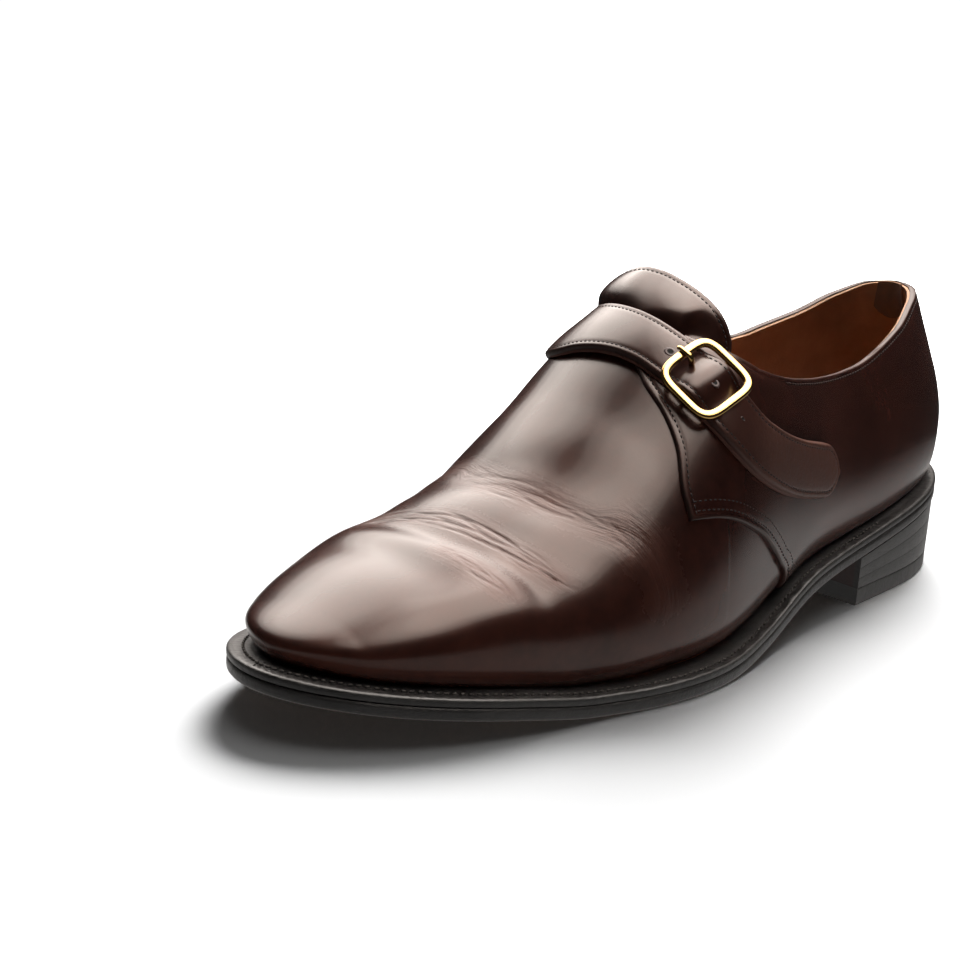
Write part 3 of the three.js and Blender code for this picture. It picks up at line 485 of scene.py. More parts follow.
def wall(name, outer_lift, inner_lift, across, lower_by):
    """Hollow wall: two slabs of grids that share their ridge line in front of the throat."""
    s = wall_rows()
    keys = ("at", "side", "rim", "gap", "crease", "lane")
    points, faces, fields, offset = [], [], {key: [] for key in keys}, 0
    steps = np.linspace(0, 1, across)
    for hand in (1, -1):
        top = topline(hand)(s)
        lowered = top + hand * lower_by * np.clip(np.abs(top) / 0.12, 0, 1)
        side = hand + (lowered - hand)[:, None] * steps[None]
        grid_s = np.broadcast_to(s[:, None], side.shape)
        rim = (1 - steps[None] < 0.015) * (np.abs(top) > 0.02)[:, None]
        outer, inner = on_last(grid_s, side, outer_lift), on_last(grid_s, side, inner_lift)
        index = np.arange(side.size).reshape(side.shape)
        for k, grid in enumerate((outer, inner)):
            points.append(grid.reshape(-1, 3))
            fields["at"].append(at_of(grid_s))
            fields["side"].append(side)
            fields["rim"].append(rim)
            fields["gap"].append(np.full(side.shape, 9.0))
            for key, values in zip(keys[4:], crease_fields(at_of(grid_s), side)):
                fields[key].append(values)
        def quads(a, b, c, d):
            return np.stack([a, b, c, d], -1).reshape(-1, 4)
        out, inn = index + offset, index + offset + side.size
        sheets = [quads(out[:-1, :-1], out[1:, :-1], out[1:, 1:], out[:-1, 1:]),
                  quads(inn[:-1, :-1], inn[:-1, 1:], inn[1:, 1:], inn[1:, :-1])]
        for column, turn in ((0, 1), (across - 1, -1)):
            strip = quads(out[:-1, column], inn[:-1, column], inn[1:, column], out[1:, column])
            sheets.append(strip[:, ::turn])
        for row, turn in ((0, -1), (-1, 1)):
            strip = quads(out[row, :-1], inn[row, :-1], inn[row, 1:], out[row, 1:])
            sheets.append(strip[:, ::turn])
        sheet = np.concatenate(sheets)
        faces.append(triangles(sheet if hand > 0 else sheet[:, ::-1]))
        offset += 2 * side.size
    fields = {key: np.concatenate([v.reshape(-1) for v in values]) for key, values in fields.items()}
    return make_piece(name, np.concatenate(points), np.concatenate(faces), fields)


upper = wall("vamp_and_wall", 0.0, -0.9, 92, 0.018)
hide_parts("upper")
lining = wall("lining", -0.95, -1.9, 40, 0.004)

# %% [markdown]
# ## Quarters and strap
# The outside quarter wraps the heel and ends in a pointed flap under the buckle. The inside
# quarter does the same on its side and runs on as the strap, one piece of leather that crosses
# the instep, passes through the buckle and lies down along the outside quarter.

# %% Outside quarter
REAR, WING, FRONT = 90, 46, 60


def rear_edges(hand, count):
    """Low and high edge of a quarter from the back seam to where its wing begins."""
    s = np.maximum(BACK_SEAM, np.linspace(0, WING_S, count))
    return np.stack([s, np.full(count, hand * 0.985)], -1), np.stack([s, topline(hand)(s)], -1)


def joined(*runs):
    """Runs of rows end to end, each later one without its first row."""
    return np.concatenate([runs[0], *[run[1:] for run in runs[1:]]])


def border_line(low, high, density=6):
    """Both edges of a panel as one dense line in space."""
    dense = []
    for edge in (low, high):
        t = np.linspace(0, len(edge) - 1, len(edge) * density)
        k = np.arange(len(edge))
        dense.append(last_point(np.interp(t, k, edge[:, 0]), np.interp(t, k, edge[:, 1])))
    return np.concatenate(dense)


t_wing, t_front = np.linspace(0, 1, WING), np.linspace(0, 1, FRONT)
rear_low, rear_high = rear_edges(1, REAR)
lateral_low = joined(rear_low, edge_line(LATERAL_WING)(t_wing), edge_line(LATERAL_FRONT)(t_front))
lateral_high = joined(rear_high, edge_line(LATERAL_RISE)(t_wing), edge_line(LATERAL_FLAP)(t_front))
QUARTER_THICK, RIM_THICK, FOLD = 1.5, 1.15, 5.0


def quarter_top(s, side, steps):
    """Outer face of a quarter, thinner towards the collar."""
    return QUARTER_THICK - (QUARTER_THICK - RIM_THICK) * ease((steps - 0.9) / 0.1)


def quarter_bottom(s, side, steps):
    """Inner face of a quarter: on the wall, and turned in over it along the collar."""
    return -0.1 - 0.75 * ease((steps - 0.955) / 0.03)


loops, fields = panel(lateral_low, lateral_high, quarter_bottom, quarter_top, 44,
                      border_line(lateral_low[REAR // 8:], lateral_high), seams=(2.1,), radius=0.55)
outside_quarter = panel_piece("outside_quarter", loops, fields, "quarter_lateral")

# %% Line of the strap
STRAP_LINE = np.array([  # at, side, half width
    [163.5, -0.25, 12], [166.8, -0.19, 11.4], [168, -0.12, 10.7], [168.6, -0.045, 9.8],
    [168.9, 0.03, 8.9], [169.1, 0.1, 8.2], [169.2, 0.17, 7.8], [169, 0.24, 7.8],
    [167.6, 0.33, 7.9], [164.8, 0.425, 8.3], [159.3, 0.512, 8.6], [150.5, 0.576, 8.7],
    [138.2, 0.63, 8.7], [123.7, 0.675, 8.5], [108.7, 0.71, 8.2]]).T
STRAP_TIP_ROUND, STRAP_TIP_FLAT, BUCKLE_ROW = 9.0, 0.15, 8.0
STRAP_END = STRAP_LINE.shape[1] - 1
strap_at, strap_side = (natural(np.arange(STRAP_END + 1), STRAP_LINE[k]) for k in (0, 1))
strap_half = steady(np.arange(STRAP_END + 1), STRAP_LINE[2])


def strap_centre(q):
    """Point of the last under the strap's centre line at a row number."""
    return last_point(s_of(strap_at(q)), strap_side(q))


def step_on_last(place, direction, distance, pieces=6):
    """Walks over the last in a direction in space: each step solves the two tangents for it."""
    place = place.copy()
    e = 1e-4
    for _ in range(pieces):
        base = last_point(*place.T)
        ds = (last_point(place[:, 0] + e, place[:, 1]) - base) / e
        dv = (last_point(place[:, 0], place[:, 1] + e) - base) / e
        a, b, c = (ds * ds).sum(1), (ds * dv).sum(1), (dv * dv).sum(1)
        p, q = (ds * direction).sum(1), (dv * direction).sum(1)
        scale = distance / pieces / (a * c - b * b)
        place = place + np.stack([c * p - b * q, a * q - b * p], -1) * scale[:, None]
    return place


def strap_frame(q):
    """Centre, forward, up and sideways directions of the strap at row numbers."""
    q = np.atleast_1d(np.asarray(q, float))
    forward = unit(strap_centre(np.minimum(STRAP_END, q + 0.05)) - strap_centre(np.maximum(0, q - 0.05)))
    up = outward(s_of(strap_at(q)), strap_side(q))
    return strap_centre(q), forward, up, unit(np.cross(up, forward))


def strap_edges(q):
    """Front and rear edge of the strap as places on the last, rounding off at its tip."""
    here, _, _, sideways = strap_frame(q)
    reach = np.linalg.norm(here - strap_centre(np.array([float(STRAP_END)])), axis=1) + STRAP_TIP_FLAT
    in_round = 1 - np.minimum(1, reach / STRAP_TIP_ROUND)
    half = strap_half(q) * np.sqrt(1 - in_round ** 2)
    place = np.stack([s_of(strap_at(q)), strap_side(q)], -1)
    return step_on_last(place, sideways, half), step_on_last(place, sideways, -half)


# %% Inside quarter with its strap
STRAP_BOTTOM, STRAP_TOP, STRAP_BUMP, STRAP_BUMP_RUN = 2.0, 4.55, 2.1, 7.5
STRAP_ROWS = 240
q_rows = STRAP_END * (1 - (1 - np.linspace(0, 1, STRAP_ROWS)) ** 1.3)
strap_front, strap_rear = strap_edges(q_rows)


def bent(points, target):
    """Edge whose last point is moved onto a target, easing the rest after it."""
    share = np.linspace(0, 1, len(points))[:, None] ** 2
    return points + (target - points[-1]) * share


rear_low, rear_high = rear_edges(-1, REAR)
medial_front = bent(edge_line(MEDIAL_FRONT)(t_front), strap_front[0])
medial_rise = bent(edge_line(MEDIAL_RISE)(t_front), strap_rear[0])
wing_top = rear_high[-1] + (medial_rise[0] - rear_high[-1]) * t_wing[:, None]
medial_low = joined(rear_low, edge_line(MEDIAL_WING)(t_wing), medial_front, strap_front)
medial_high = joined(rear_high, wing_top, medial_rise, strap_rear)
row_number = joined(np.linspace(0, 15, REAR), np.linspace(15, 22, WING), np.linspace(22, 28, FRONT),
                    np.linspace(28, 58, STRAP_ROWS))
onto_strap = ease((row_number - 24) / 13)[:, None]
buckle_origin = strap_centre(np.array([BUCKLE_ROW]))[0]
row_centre = joined(*[np.full((n, 3), 1e3) for n in (REAR, WING, FRONT)], strap_centre(q_rows))
bump = STRAP_BUMP * ease(1 - np.linalg.norm(row_centre - buckle_origin, axis=1) / STRAP_BUMP_RUN)[:, None]


def strap_top(s, side, steps):
    """Outer face: from the quarter's height up onto the flap, crowned and humped in the buckle."""
    crown = 0.35 * (1 - (2 * steps - 1) ** 2) * onto_strap
    quarter = quarter_top(s, side, steps)
    return quarter + (STRAP_TOP - 0.2 - quarter) * onto_strap + crown + bump


def strap_bottom(s, side, steps):
    """Inner face: turned in along the collar, and flat under the strap."""
    quarter = quarter_bottom(s, side, steps)
    return quarter + (STRAP_BOTTOM + 0.7 - quarter) * onto_strap + bump


loops, fields = panel(medial_low, medial_high, strap_bottom, strap_top, 22,
                      border_line(medial_low[REAR // 8:], medial_high), seams=(2.0,), radius=0.9)
# The strap's free end: its grain shows there, and the material lifts its colour as a painted highlight.
fields["strap"] = np.broadcast_to(ease((row_number - 43) / 6)[:, None], loops.shape[:2])
inside_quarter = panel_piece("inside_quarter_and_strap", loops, fields, "quarter_medial_strap")

# %% Under layer of the strap
LAYER_FROM, LAYER_OUT, LAYER_TOP = 12, 0.3, 0.85
layer = slice(LAYER_FROM, STRAP_ROWS)
_, _, _, layer_sideways = strap_frame(q_rows)
layer_low = step_on_last(strap_front, layer_sideways, np.full(STRAP_ROWS, LAYER_OUT))[layer]
layer_high = step_on_last(strap_rear, layer_sideways, np.full(STRAP_ROWS, -LAYER_OUT))[layer]
layer_bump = bump[-STRAP_ROWS:][layer]
layer_rise = onto_strap[-STRAP_ROWS:][layer]


def layer_height(above):
    """Height of the under layer: it rises onto the flap with the strap that it lies under."""
    return lambda s, side, steps: (STRAP_BOTTOM + above) * layer_rise + layer_bump


loops, fields = panel(layer_low, layer_high, layer_height(-0.35), layer_height(LAYER_TOP), 8,
                      border_line(layer_low, layer_high), radius=0.35)
# The whole under layer counts as strap end, so its colour is lifted by the same painted highlight.
fields["strap"] = np.ones(loops.shape[:2])
strap_layer = panel_piece("strap_under_layer", loops, fields)

# %% [markdown]
# ## Tongue
# The tongue is tucked under the throat, pressed up against the strap, and stands a little above
# it behind. Its outer leather and its tan lining are two thin panels back to back.

# %% Tongue
TONGUE_TOP = np.array([  # side, at
    [-0.34, 158], [-0.3, 152.5], [-0.25, 149.5], [-0.175, 147], [-0.1, 146.2], [0, 146.4],
    [0.08, 147], [0.23, 147.5], [0.3, 147.7], [0.35, 149.5], [0.385, 155]]).T
TONGUE_RISE = np.array([  # side, throat, strap, lift
    [-0.34, 120, 120, 1], [-0.3, 140, 140, 3], [-0.25, 157, 154.5, 5.5], [-0.18, 164, 157.5, 6.2],
    [-0.08, 169, 159.5, 6], [0, 170, 160.8, 4.8], [0.08, 168, 162, 3.8], [0.15, 164, 162, 3.2],
    [0.2, 158, 157, 2.8], [0.28, 153, 152, 2], [0.34, 149, 148, 1], [0.385, 142, 142, 0]]).T
TONGUE_FOOT, TONGUE_UNDER, TONGUE_SEAT_RUN, TONGUE_LIFT_RUN, TONGUE_EASE = 184.0, -3.0, 9.0, 14.0, 1.5
throat_of, behind_of, lift_of = (steady(TONGUE_RISE[0], TONGUE_RISE[k]) for k in (1, 2, 3))
tongue_sides = np.linspace(-0.34, 0.385, 110)
tongue_low = np.stack([np.full(110, s_of(TONGUE_FOOT)), tongue_sides], -1)
tongue_high = np.stack([s_of(steady(*TONGUE_TOP)(tongue_sides)), tongue_sides], -1)


def tongue_face(s, side, steps):
    """Height of the tongue: under the throat, then against the strap, then above it."""
    at = at_of(s)
    seat = -TONGUE_UNDER * ease((throat_of(side) - at) / TONGUE_SEAT_RUN)
    left = 1 - np.clip((behind_of(side) + 1 - at) / TONGUE_LIFT_RUN, 0, 1)
    before = TONGUE_EASE * ease((behind_of(side) + 15 - at) / 14) * ease((lift_of(side) - 1) / 2.5)
    return TONGUE_UNDER + seat + before + (lift_of(side) - before) * (1 - left ** 4)


def below(face, drop):
    """The same face a little lower."""
    return lambda s, side, steps: face(s, side, steps) - drop


tongue_border = border_line(tongue_low[:1], tongue_high)
tongue_border = np.concatenate([border_line(tongue_low, tongue_high)[len(tongue_low) * 6:]])
for end in (0, -1):
    t = np.linspace(0, 1, 200)
    side = np.full(200, tongue_sides[end])
    tongue_border = np.concatenate([tongue_border, last_point(
        tongue_low[end, 0] + (tongue_high[end, 0] - tongue_low[end, 0]) * t, side)])
loops, fields = panel(tongue_low, tongue_high, below(tongue_face, 1.2), tongue_face, 60,
                      tongue_border, seams=(2.0,), radius=0.6)
tongue = panel_piece("tongue_leather", loops, fields, "tongue")
loops, fields = panel(tongue_low, tongue_high, below(tongue_face, 2.0), below(tongue_face, 1.25), 30,
                      tongue_border, radius=0.5)
tongue_lining = panel_piece("tongue_lining", loops, fields)

# %% [markdown]
# ## Heel tab and sock
# Inside, a small leather tab covers the top of the back seam and a thin tan sock covers the insole.

# %% Heel tab and sock
def tab_grid(lift, rows=14, columns=40):
    """Short strip over the back seam, a little lower at its ends."""
    t, r = np.meshgrid(np.linspace(0, 1, rows), np.linspace(-1, 1, columns), indexing="ij")
    side = 0.362 + (0.5 - 0.04 * r * r - 0.362) * t
    return on_last(np.abs(r) * 0.055, np.where(r < 0, -side, side), lift)


def slab(name, outer, inner, *nodes, fields=None, sharp=50):
    """Closed slab between two grids, as loops across it."""
    loops = np.concatenate([outer, inner[:, ::-1]], 1)
    piece = make_piece(name, loops, loops_to_faces(*loops.shape[:2]), fields, sharp)
    if nodes:
        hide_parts(*nodes)
    return piece


heel_tab = slab("heel_tab_leather", tab_grid(-1.85), tab_grid(-2.7), "heel_tab")
sock_s = np.linspace(0.02, 0.985, 120)
sock_across = np.linspace(-1, 1, 40)


def sock_grid(drop):
    """Sheet over the insole inside the wall, dished a little towards its middle."""
    left, right = (on_last(sock_s, np.full(120, hand), -3.0) for hand in (-1.0, 1.0))
    share = (sock_across[None, :, None] + 1) / 2
    grid = left[:, None] + (right - left)[:, None] * share
    rim = (np.abs(sock_across) ** 6)[None]
    grid[..., 2] = welt_top(at_of(sock_s))[:, None] + 3.2 + 0.8 * rim - drop
    return grid


sock = slab("sock_lining", sock_grid(0), sock_grid(0.7))

# %% [markdown]
# ## Welt and outsole
# The welt is a strip of leather sewn to the upper, and the outsole is stitched to it. Both follow
# one outline, given by two half widths. A side wall is a stack of that outline at several heights,
# each moved in by its own amount, which is how the edge gets its rounding and the fine groove
# between the two layers. Along the top of the welt a wheel has pressed small ridges.

# %% Outline of the sole
def sole_edge(s, hand, inset):
    """Point of the sole's edge at a station, moved in by an inset; returns x, y and at."""
    at = SOLE_LENGTH * (1 - np.cos(pi * s)) / 2
    half = sole_lateral(at) if hand > 0 else sole_medial(at)
    half = np.where((s <= 0) | (s >= 1), 0, np.maximum(0, half - inset))
    y = (SOLE_LENGTH / 2 - at) * (1 - 2 * inset / SOLE_LENGTH)
    return np.stack([hand * half, y, at], -1)


def sole_ring(inset, count=260):
    """Closed line round the sole: outside edge from heel to toe and back along the inside."""
    s = np.linspace(0, 1, count)
    return np.concatenate([sole_edge(s, 1, inset), sole_edge(s[::-1], -1, inset)[1:-1]])


def along_ring(ring):
    """Length along a closed line at each of its points."""
    return np.concatenate([[0], np.cumsum(np.linalg.norm(np.diff(ring[:, :2], axis=0), axis=1))])


def ring_loops(levels, height_of):
    """Closed loops round the sole, one for each (inset, height) of a section."""
    rings = []
    for inset, height in levels:
        ring = sole_ring(inset)
        rings.append(np.stack([ring[:, 0], ring[:, 1], height_of(ring[:, 2]) + height], -1))
    return np.stack(rings, 1)


# %% Outsole
OUTSOLE_EDGE = [(2.2, 0.0), (0.9, 0.05), (0.35, 0.3), (0.08, 0.8), (0.0, 1.6), (0.02, 2.7),
                (0.12, 3.5), (0.45, 3.85), (0.7, 4.0)]


def plate_with_edge(name, levels, height_of, *nodes):
    """Solid sheet whose rim is a stack of outlines, with flat faces below and above."""
    count, across = 260, 12
    s = np.linspace(0, 1, count)
    share = np.linspace(0, 1, across)[None, :, None]
    rows = []
    for inset, height in (levels[0], levels[-1]):
        left, right = sole_edge(s, -1, inset), sole_edge(s, 1, inset)
        grid = left[:, None] + (right - left)[:, None] * share
        grid[..., 2] = height_of(grid[..., 2]) + height
        rows.append(grid)
    sides = []
    for hand in (1, -1):
        stack = [sole_edge(s, hand, inset) for inset, _ in levels]
        stack = np.stack([np.stack([p[:, 0], p[:, 1], height_of(p[:, 2]) + h], -1)
                          for p, (_, h) in zip(stack, levels)], 1)
        sides.append(stack[:, 1:-1])
    loops = np.concatenate([rows[0], sides[0], rows[1][:, ::-1], sides[1][:, ::-1]], 1)
    index = np.arange(loops.shape[0] * loops.shape[1]).reshape(loops.shape[:2])
    quads = np.stack([index[:-1], np.roll(index[:-1], -1, 1), np.roll(index[1:], -1, 1), index[1:]], -1)
    heights = loops[..., 2] - height_of(SOLE_LENGTH / 2 - loops[..., 1])
    rim = np.zeros(loops.shape[:2])
    rim[:, across:across + len(levels) - 2] = 1
    rim[:, 2 * across + len(levels) - 2:] = 1
    fields = {"edge": rim, "level": heights, "at": SOLE_LENGTH / 2 - loops[..., 1]}
    piece = make_piece(name, loops, triangles(quads.reshape(-1, 4)), fields, 60)
    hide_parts(*nodes)
    return piece


outsole = plate_with_edge("outsole_leather", OUTSOLE_EDGE, underside, "outsole")

# %% Welt
WELT_STITCH_INSET, WHEEL_PITCH, WHEEL_DEPTH = 3.3, 2.3, 0.22
WELT_SECTION = [(0.55, 4.02), (0.2, 4.15), (0.02, 4.5), (0.0, 5.2), (0.05, 5.9), (0.3, 6.3), (0.75, 6.45),
                (1.4, 6.42), (1.9, 6.36), (2.3, 6.3), (2.7, 6.22), (3.3, 6.18), (3.9, 6.22), (4.4, 6.3),
                (5.2, 6.34), (7.0, 6.34), (11.0, 6.3), (11.0, 4.1)]


def welt_rows(section):
    """Section carried round the sole, with ridges pressed across the stitched band."""
    loops = ring_loops(section, underside)
    ring = sole_ring(0)
    phase = np.cos(2 * pi * along_ring(ring) / WHEEL_PITCH)
    forepart = ease((ring[:, 2] - 62) / 14)
    for k, (inset, height) in enumerate(section):
        band = np.exp(-((inset - 2.1) / 0.8) ** 2) if height > 6 else 0
        loops[:, k, 2] += WHEEL_DEPTH * band * phase * forepart
    return loops


loops = welt_rows(WELT_SECTION)
fields = {
    "edge": np.broadcast_to(np.array([float(inset < 0.6) for inset, _ in WELT_SECTION])[None], loops.shape[:2]),
    "level": np.broadcast_to(np.array([height for _, height in WELT_SECTION])[None], loops.shape[:2]),
    "inset": np.broadcast_to(np.array([inset for inset, _ in WELT_SECTION])[None], loops.shape[:2]),
}
welt = make_piece("welt_strip", loops, loops_to_faces(*loops.shape[:2], closed=True), fields, 70)
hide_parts("welt")

# %% [markdown]
# ## Heel
# The heel is a stack of leather lifts, trimmed together with the seat above it, and a rubber top
# piece. Its front, the breast, is slightly hollow. The lifts show as faint lines round the side.

# %% Heel
HEEL_LENGTH, BREAST_CURVE, TOP_PIECE, HEEL_INSET, HEEL_TAPER, LIFTS = 84.0, 2.5, 6.0, 0.3, 0.6, 3


OUTLINE_POINTS, BREAST_POINTS = 120, 24


def heel_outline(inset):
    """Closed line: outside edge from the breast to the back, inside edge, and the hollow breast."""
    at = HEEL_LENGTH * (1 - np.cos(pi / 2 * np.linspace(0, 1, OUTLINE_POINTS)))
    share = at / HEEL_LENGTH
    x_lateral = np.where(at <= 0, 0, np.maximum(0, sole_lateral(at) - inset))
    x_medial = np.where(at <= 0, 0, np.maximum(0, sole_medial(at) - inset))
    y = SOLE_LENGTH / 2 - inset - at * (1 - inset / HEEL_LENGTH)
    side = np.stack([x_lateral[::-1], y[::-1], at[::-1]], -1)
    other = np.stack([-x_medial[1:], y[1:], at[1:]], -1)
    t = np.linspace(-1, 1, BREAST_POINTS)[1:-1]
    reach = HEEL_LENGTH - BREAST_CURVE * (1 - t * t)
    x = np.where(t > 0, t * x_lateral[-1], t * x_medial[-1])
    front = np.stack([x, SOLE_LENGTH / 2 - inset - reach * (1 - inset / HEEL_LENGTH), reach], -1)
    return np.concatenate([side, other, front])


def heel_level(share, at):
    """Height of a share of the heel: 0 on the floor, 1 at the top piece's top, then the lifts."""
    lifts = TOP_PIECE + (underside(at) - 0.05 - TOP_PIECE) * (share - 1) / LIFTS
    return np.where(share <= 1, TOP_PIECE * share, lifts)


def heel_piece(name, levels, *nodes):
    """Stack of outlines at (share, extra inset) levels, closed below and above by fans."""
    rings = []
    for share, extra in levels:
        plan = heel_outline(0.0)
        z = heel_level(share, plan[:, 2])
        inset = HEEL_INSET + HEEL_TAPER * float(1 - np.mean(z) / underside(0.0)) + extra
        ring = heel_outline(inset)
        rings.append(np.stack([ring[:, 0], ring[:, 1], heel_level(share, ring[:, 2])], -1))
    loops = np.stack(rings)
    count = loops.shape[1]
    index = np.arange(loops.shape[0] * count).reshape(loops.shape[:2])
    quads = np.stack([index[:-1], np.roll(index[:-1], -1, 1), np.roll(index[1:], -1, 1), index[1:]], -1)
    faces = [triangles(quads.reshape(-1, 4))]
    points = loops.reshape(-1, 3)
    for ring, turn in ((index[0], -1), (index[-1], 1)):
        middle = points[ring].mean(0)
        hub = len(points)
        points = np.concatenate([points, middle[None]])
        fan = np.stack([ring, np.roll(ring, -1), np.full(count, hub)], -1)
        faces.append(fan[:, ::turn])
    level = np.concatenate([np.repeat([share for share, _ in levels], count), [levels[0][0], levels[-1][0]]])
    on_breast = np.arange(count) >= 2 * OUTLINE_POINTS - 1
    front = np.concatenate([np.tile(on_breast, len(levels)), [0, 0]])
    piece = make_piece(name, points, np.concatenate(faces), {"level": level, "breast": front}, 35)
    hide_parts(*nodes)
    return piece


top_piece_levels = [(0.0, 0.5), (0.03, 0.15), (0.12, 0.0), (0.5, 0.0), (0.9, 0.0), (0.97, 0.12), (1.0, 0.3)]
stack_levels = [(1.0, 0.3), (1.02, 0.08)]
for lift in range(1, LIFTS + 1):
    stack_levels += [(lift + 0.05, 0.0), (lift + 0.5, 0.0), (lift + 0.95, 0.0), (lift + 0.985, 0.03)]
    stack_levels += [(lift + 1.0, 0.06), (lift + 1.015, 0.03)] if lift < LIFTS else [(lift + 1.0, 0.2)]
heel_top_piece = heel_piece("heel_top_rubber", top_piece_levels, "heel_top_piece")
heel_stack = heel_piece("heel_lifts", stack_levels, "heel_lift_1", "heel_lift_2", "heel_lift_3")

# %% Holes in the strap
HOLES = [(-12.6, 0.0, 0.95), (2.2, 0.0, 0.8), (13.7, 0.0, 0.45)]  # along the strap from the buckle, across, radius
HOLE_PROFILE = np.array([  # share of the radius, height: floor, lip and foot
    [0.0, 0.02], [0.85, 0.02], [0.95, 0.05], [1.15, 0.09], [1.5, 0.04], [1.9, -0.06], [1.9, -0.5], [0.0, -0.5]])
strap_q = np.linspace(0, STRAP_END, 1500)
strap_run = np.concatenate([[0], np.cumsum(np.linalg.norm(np.diff(strap_centre(strap_q), axis=0), axis=1))])
buckle_run = np.interp(BUCKLE_ROW, strap_q, strap_run)
hole_loops = []
for along, _, radius in HOLES:
    q = np.interp(buckle_run + along, strap_run, strap_q)
    spot, ahead, raised, over = (v[0] for v in strap_frame([q]))
    hump = STRAP_BUMP * ease(1 - np.linalg.norm(spot - buckle_origin) / STRAP_BUMP_RUN)
    spot = spot + raised * (STRAP_TOP + 0.15 + hump)
    turn = np.linspace(0, 2 * pi, 20, endpoint=False)
    ring_line = 1.25 * np.cos(turn)[:, None] * ahead + 0.9 * np.sin(turn)[:, None] * over
    hole_loops.append(spot + ring_line[:, None] * (HOLE_PROFILE[None, :, :1] * radius)
                      + raised * HOLE_PROFILE[None, :, 1:])
one = loops_to_faces(20, len(HOLE_PROFILE), closed=True)
hole_faces = np.concatenate([one + k * hole_loops[0][..., 0].size for k in range(len(HOLES))])
# Marks the flat floor of each hole, which is painted near black as the shade inside a punched hole.
inner = np.tile(np.isin(np.arange(len(HOLE_PROFILE)), (0, 1)).astype(float), 20 * len(HOLES))
strap_holes = make_piece("strap_holes", np.concatenate([v.reshape(-1, 3) for v in hole_loops]), hole_faces,
                         {"inner": inner, "strap": 0 * inner, "rim": inner})

# %% [markdown]
# ## Buckle
# The buckle is a cast brass frame with soft corners, whose sides bow out a little. It lies over
# the strap. A centre bar under the strap carries the prong, whose tip comes up through a hole
# and rests on the frame. Both are profiles carried along a path.

# %% Buckle
here, forward, up, across = (v[0] for v in strap_frame([BUCKLE_ROW]))
BUCKLE_LONG, BUCKLE_ACROSS, BUCKLE_POWER, BUCKLE_HEIGHT = 10.0, 10.4, 4.4, 5.65
FRAME_WIDE, FRAME_THICK, BAR_WIRE, BAR_HEIGHT = 1.35, 1.0, 0.9, 2.9


def in_buckle(along, cross, height):
    """Places in the buckle's own directions: along the strap, across it and up from the shoe."""
    parts = np.broadcast_arrays(along, cross, height)
    return here + parts[0][..., None] * forward + parts[1][..., None] * across + parts[2][..., None] * up


def swept(name, path, half_wide, half_thick, level, closed, sides=16, power=2.6, *nodes):
    """Superellipse profile carried along a path, wide across it and thick towards level."""
    tangent = unit(np.roll(path, -1, 0) - np.roll(path, 1, 0)) if closed else unit(np.gradient(path, axis=0))
    flat = unit(np.cross(tangent, level))
    rise = np.cross(flat, tangent)
    turn = np.linspace(0, 2 * pi, sides, endpoint=False)
    wide = np.sign(np.cos(turn)) * np.abs(np.cos(turn)) ** (2 / power)
    thick = np.sign(np.sin(turn)) * np.abs(np.sin(turn)) ** (2 / power)
    half_wide = np.broadcast_to(half_wide, len(path))[:, None, None]
    half_thick = np.broadcast_to(half_thick, len(path))[:, None, None]
    loops = path[:, None] + flat[:, None] * wide[None, :, None] * half_wide
    loops = loops + rise[:, None] * thick[None, :, None] * half_thick
    piece = make_piece(name, loops, loops_to_faces(*loops.shape[:2], closed=closed), None, 80)
    if nodes:
        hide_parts(*nodes)
    return piece


turn = np.linspace(0, 2 * pi, 144, endpoint=False)
frame_along = BUCKLE_LONG * np.sign(np.cos(turn)) * np.abs(np.cos(turn)) ** (2 / BUCKLE_POWER)
frame_across = BUCKLE_ACROSS * np.sign(np.sin(turn)) * np.abs(np.sin(turn)) ** (2 / BUCKLE_POWER)
even = np.concatenate([[0], np.cumsum(np.hypot(np.diff(frame_along), np.diff(frame_across)))])
even_t = np.linspace(0, even[-1], 144)[:-1]
frame_along, frame_across = np.interp(even_t, even, frame_along), np.interp(even_t, even, frame_across)
frame_path = in_buckle(frame_along, frame_across, BUCKLE_HEIGHT - 0.006 * frame_across ** 2)
buckle = swept("buckle_ring", frame_path, FRAME_WIDE, FRAME_THICK, up, True, 20, 2.8, "buckle_frame")
bar_rows = np.array([[-10.4, 4.85], [-9.8, 3.9], [-8.8, 2.9], [0, 2.9], [8.8, 2.9], [9.8, 3.9], [10.4, 4.85]])
bar_t = np.linspace(0, len(bar_rows) - 1, 40)
bar_path = in_buckle(0.0, *(steady(np.arange(len(bar_rows)), bar_rows[:, k])(bar_t) for k in (0, 1)))
buckle_bar = swept("buckle_centre_bar", bar_path, BAR_WIRE, BAR_WIRE, up, False, 12, 2)
prong_rows = np.array([[-6.2, 4.9], [-7.0, 6.6], [-8.2, 7.35], [-10.0, 7.2], [-11.4, 6.9], [-12.2, 6.4]])
prong_t = np.linspace(0, len(prong_rows) - 1, 48)
prong_path = in_buckle(natural(np.arange(6), prong_rows[:, 0])(prong_t), 0.0, natural(np.arange(6), prong_rows[:, 1])(prong_t))
prong_wide = 0.95 - 0.25 * np.linspace(0, 1, 48) ** 2
prong = swept("buckle_prong_tip", prong_path, prong_wide, 0.8 * prong_wide, up, False, 12, 2.2, "buckle_prong")

# %% [markdown]
# ## Stitches
# A seam is a row of short raised threads that dive into the leather at both ends. One stitch is a
# small closed form, and numpy places it hundreds of times along a line on the last. Each line is
# found as a fixed distance in from an edge, just as the maker guides the needle along it.

# %% Stitch rows
def stitch_form(rings=6, sides=6):
    """Spindle from -1 to 1: round, thick in the middle and closed at both tips."""
    u = np.linspace(-1, 1, rings)
    thick = np.sqrt(np.maximum(0, 1 - np.abs(u) ** 3))
    turn = np.linspace(0, 2 * pi, sides, endpoint=False)
    x = np.broadcast_to(u[:, None], (rings, sides))
    return np.stack([x, thick[:, None] * np.cos(turn), thick[:, None] * np.sin(turn)], -1)


FORM = stitch_form()


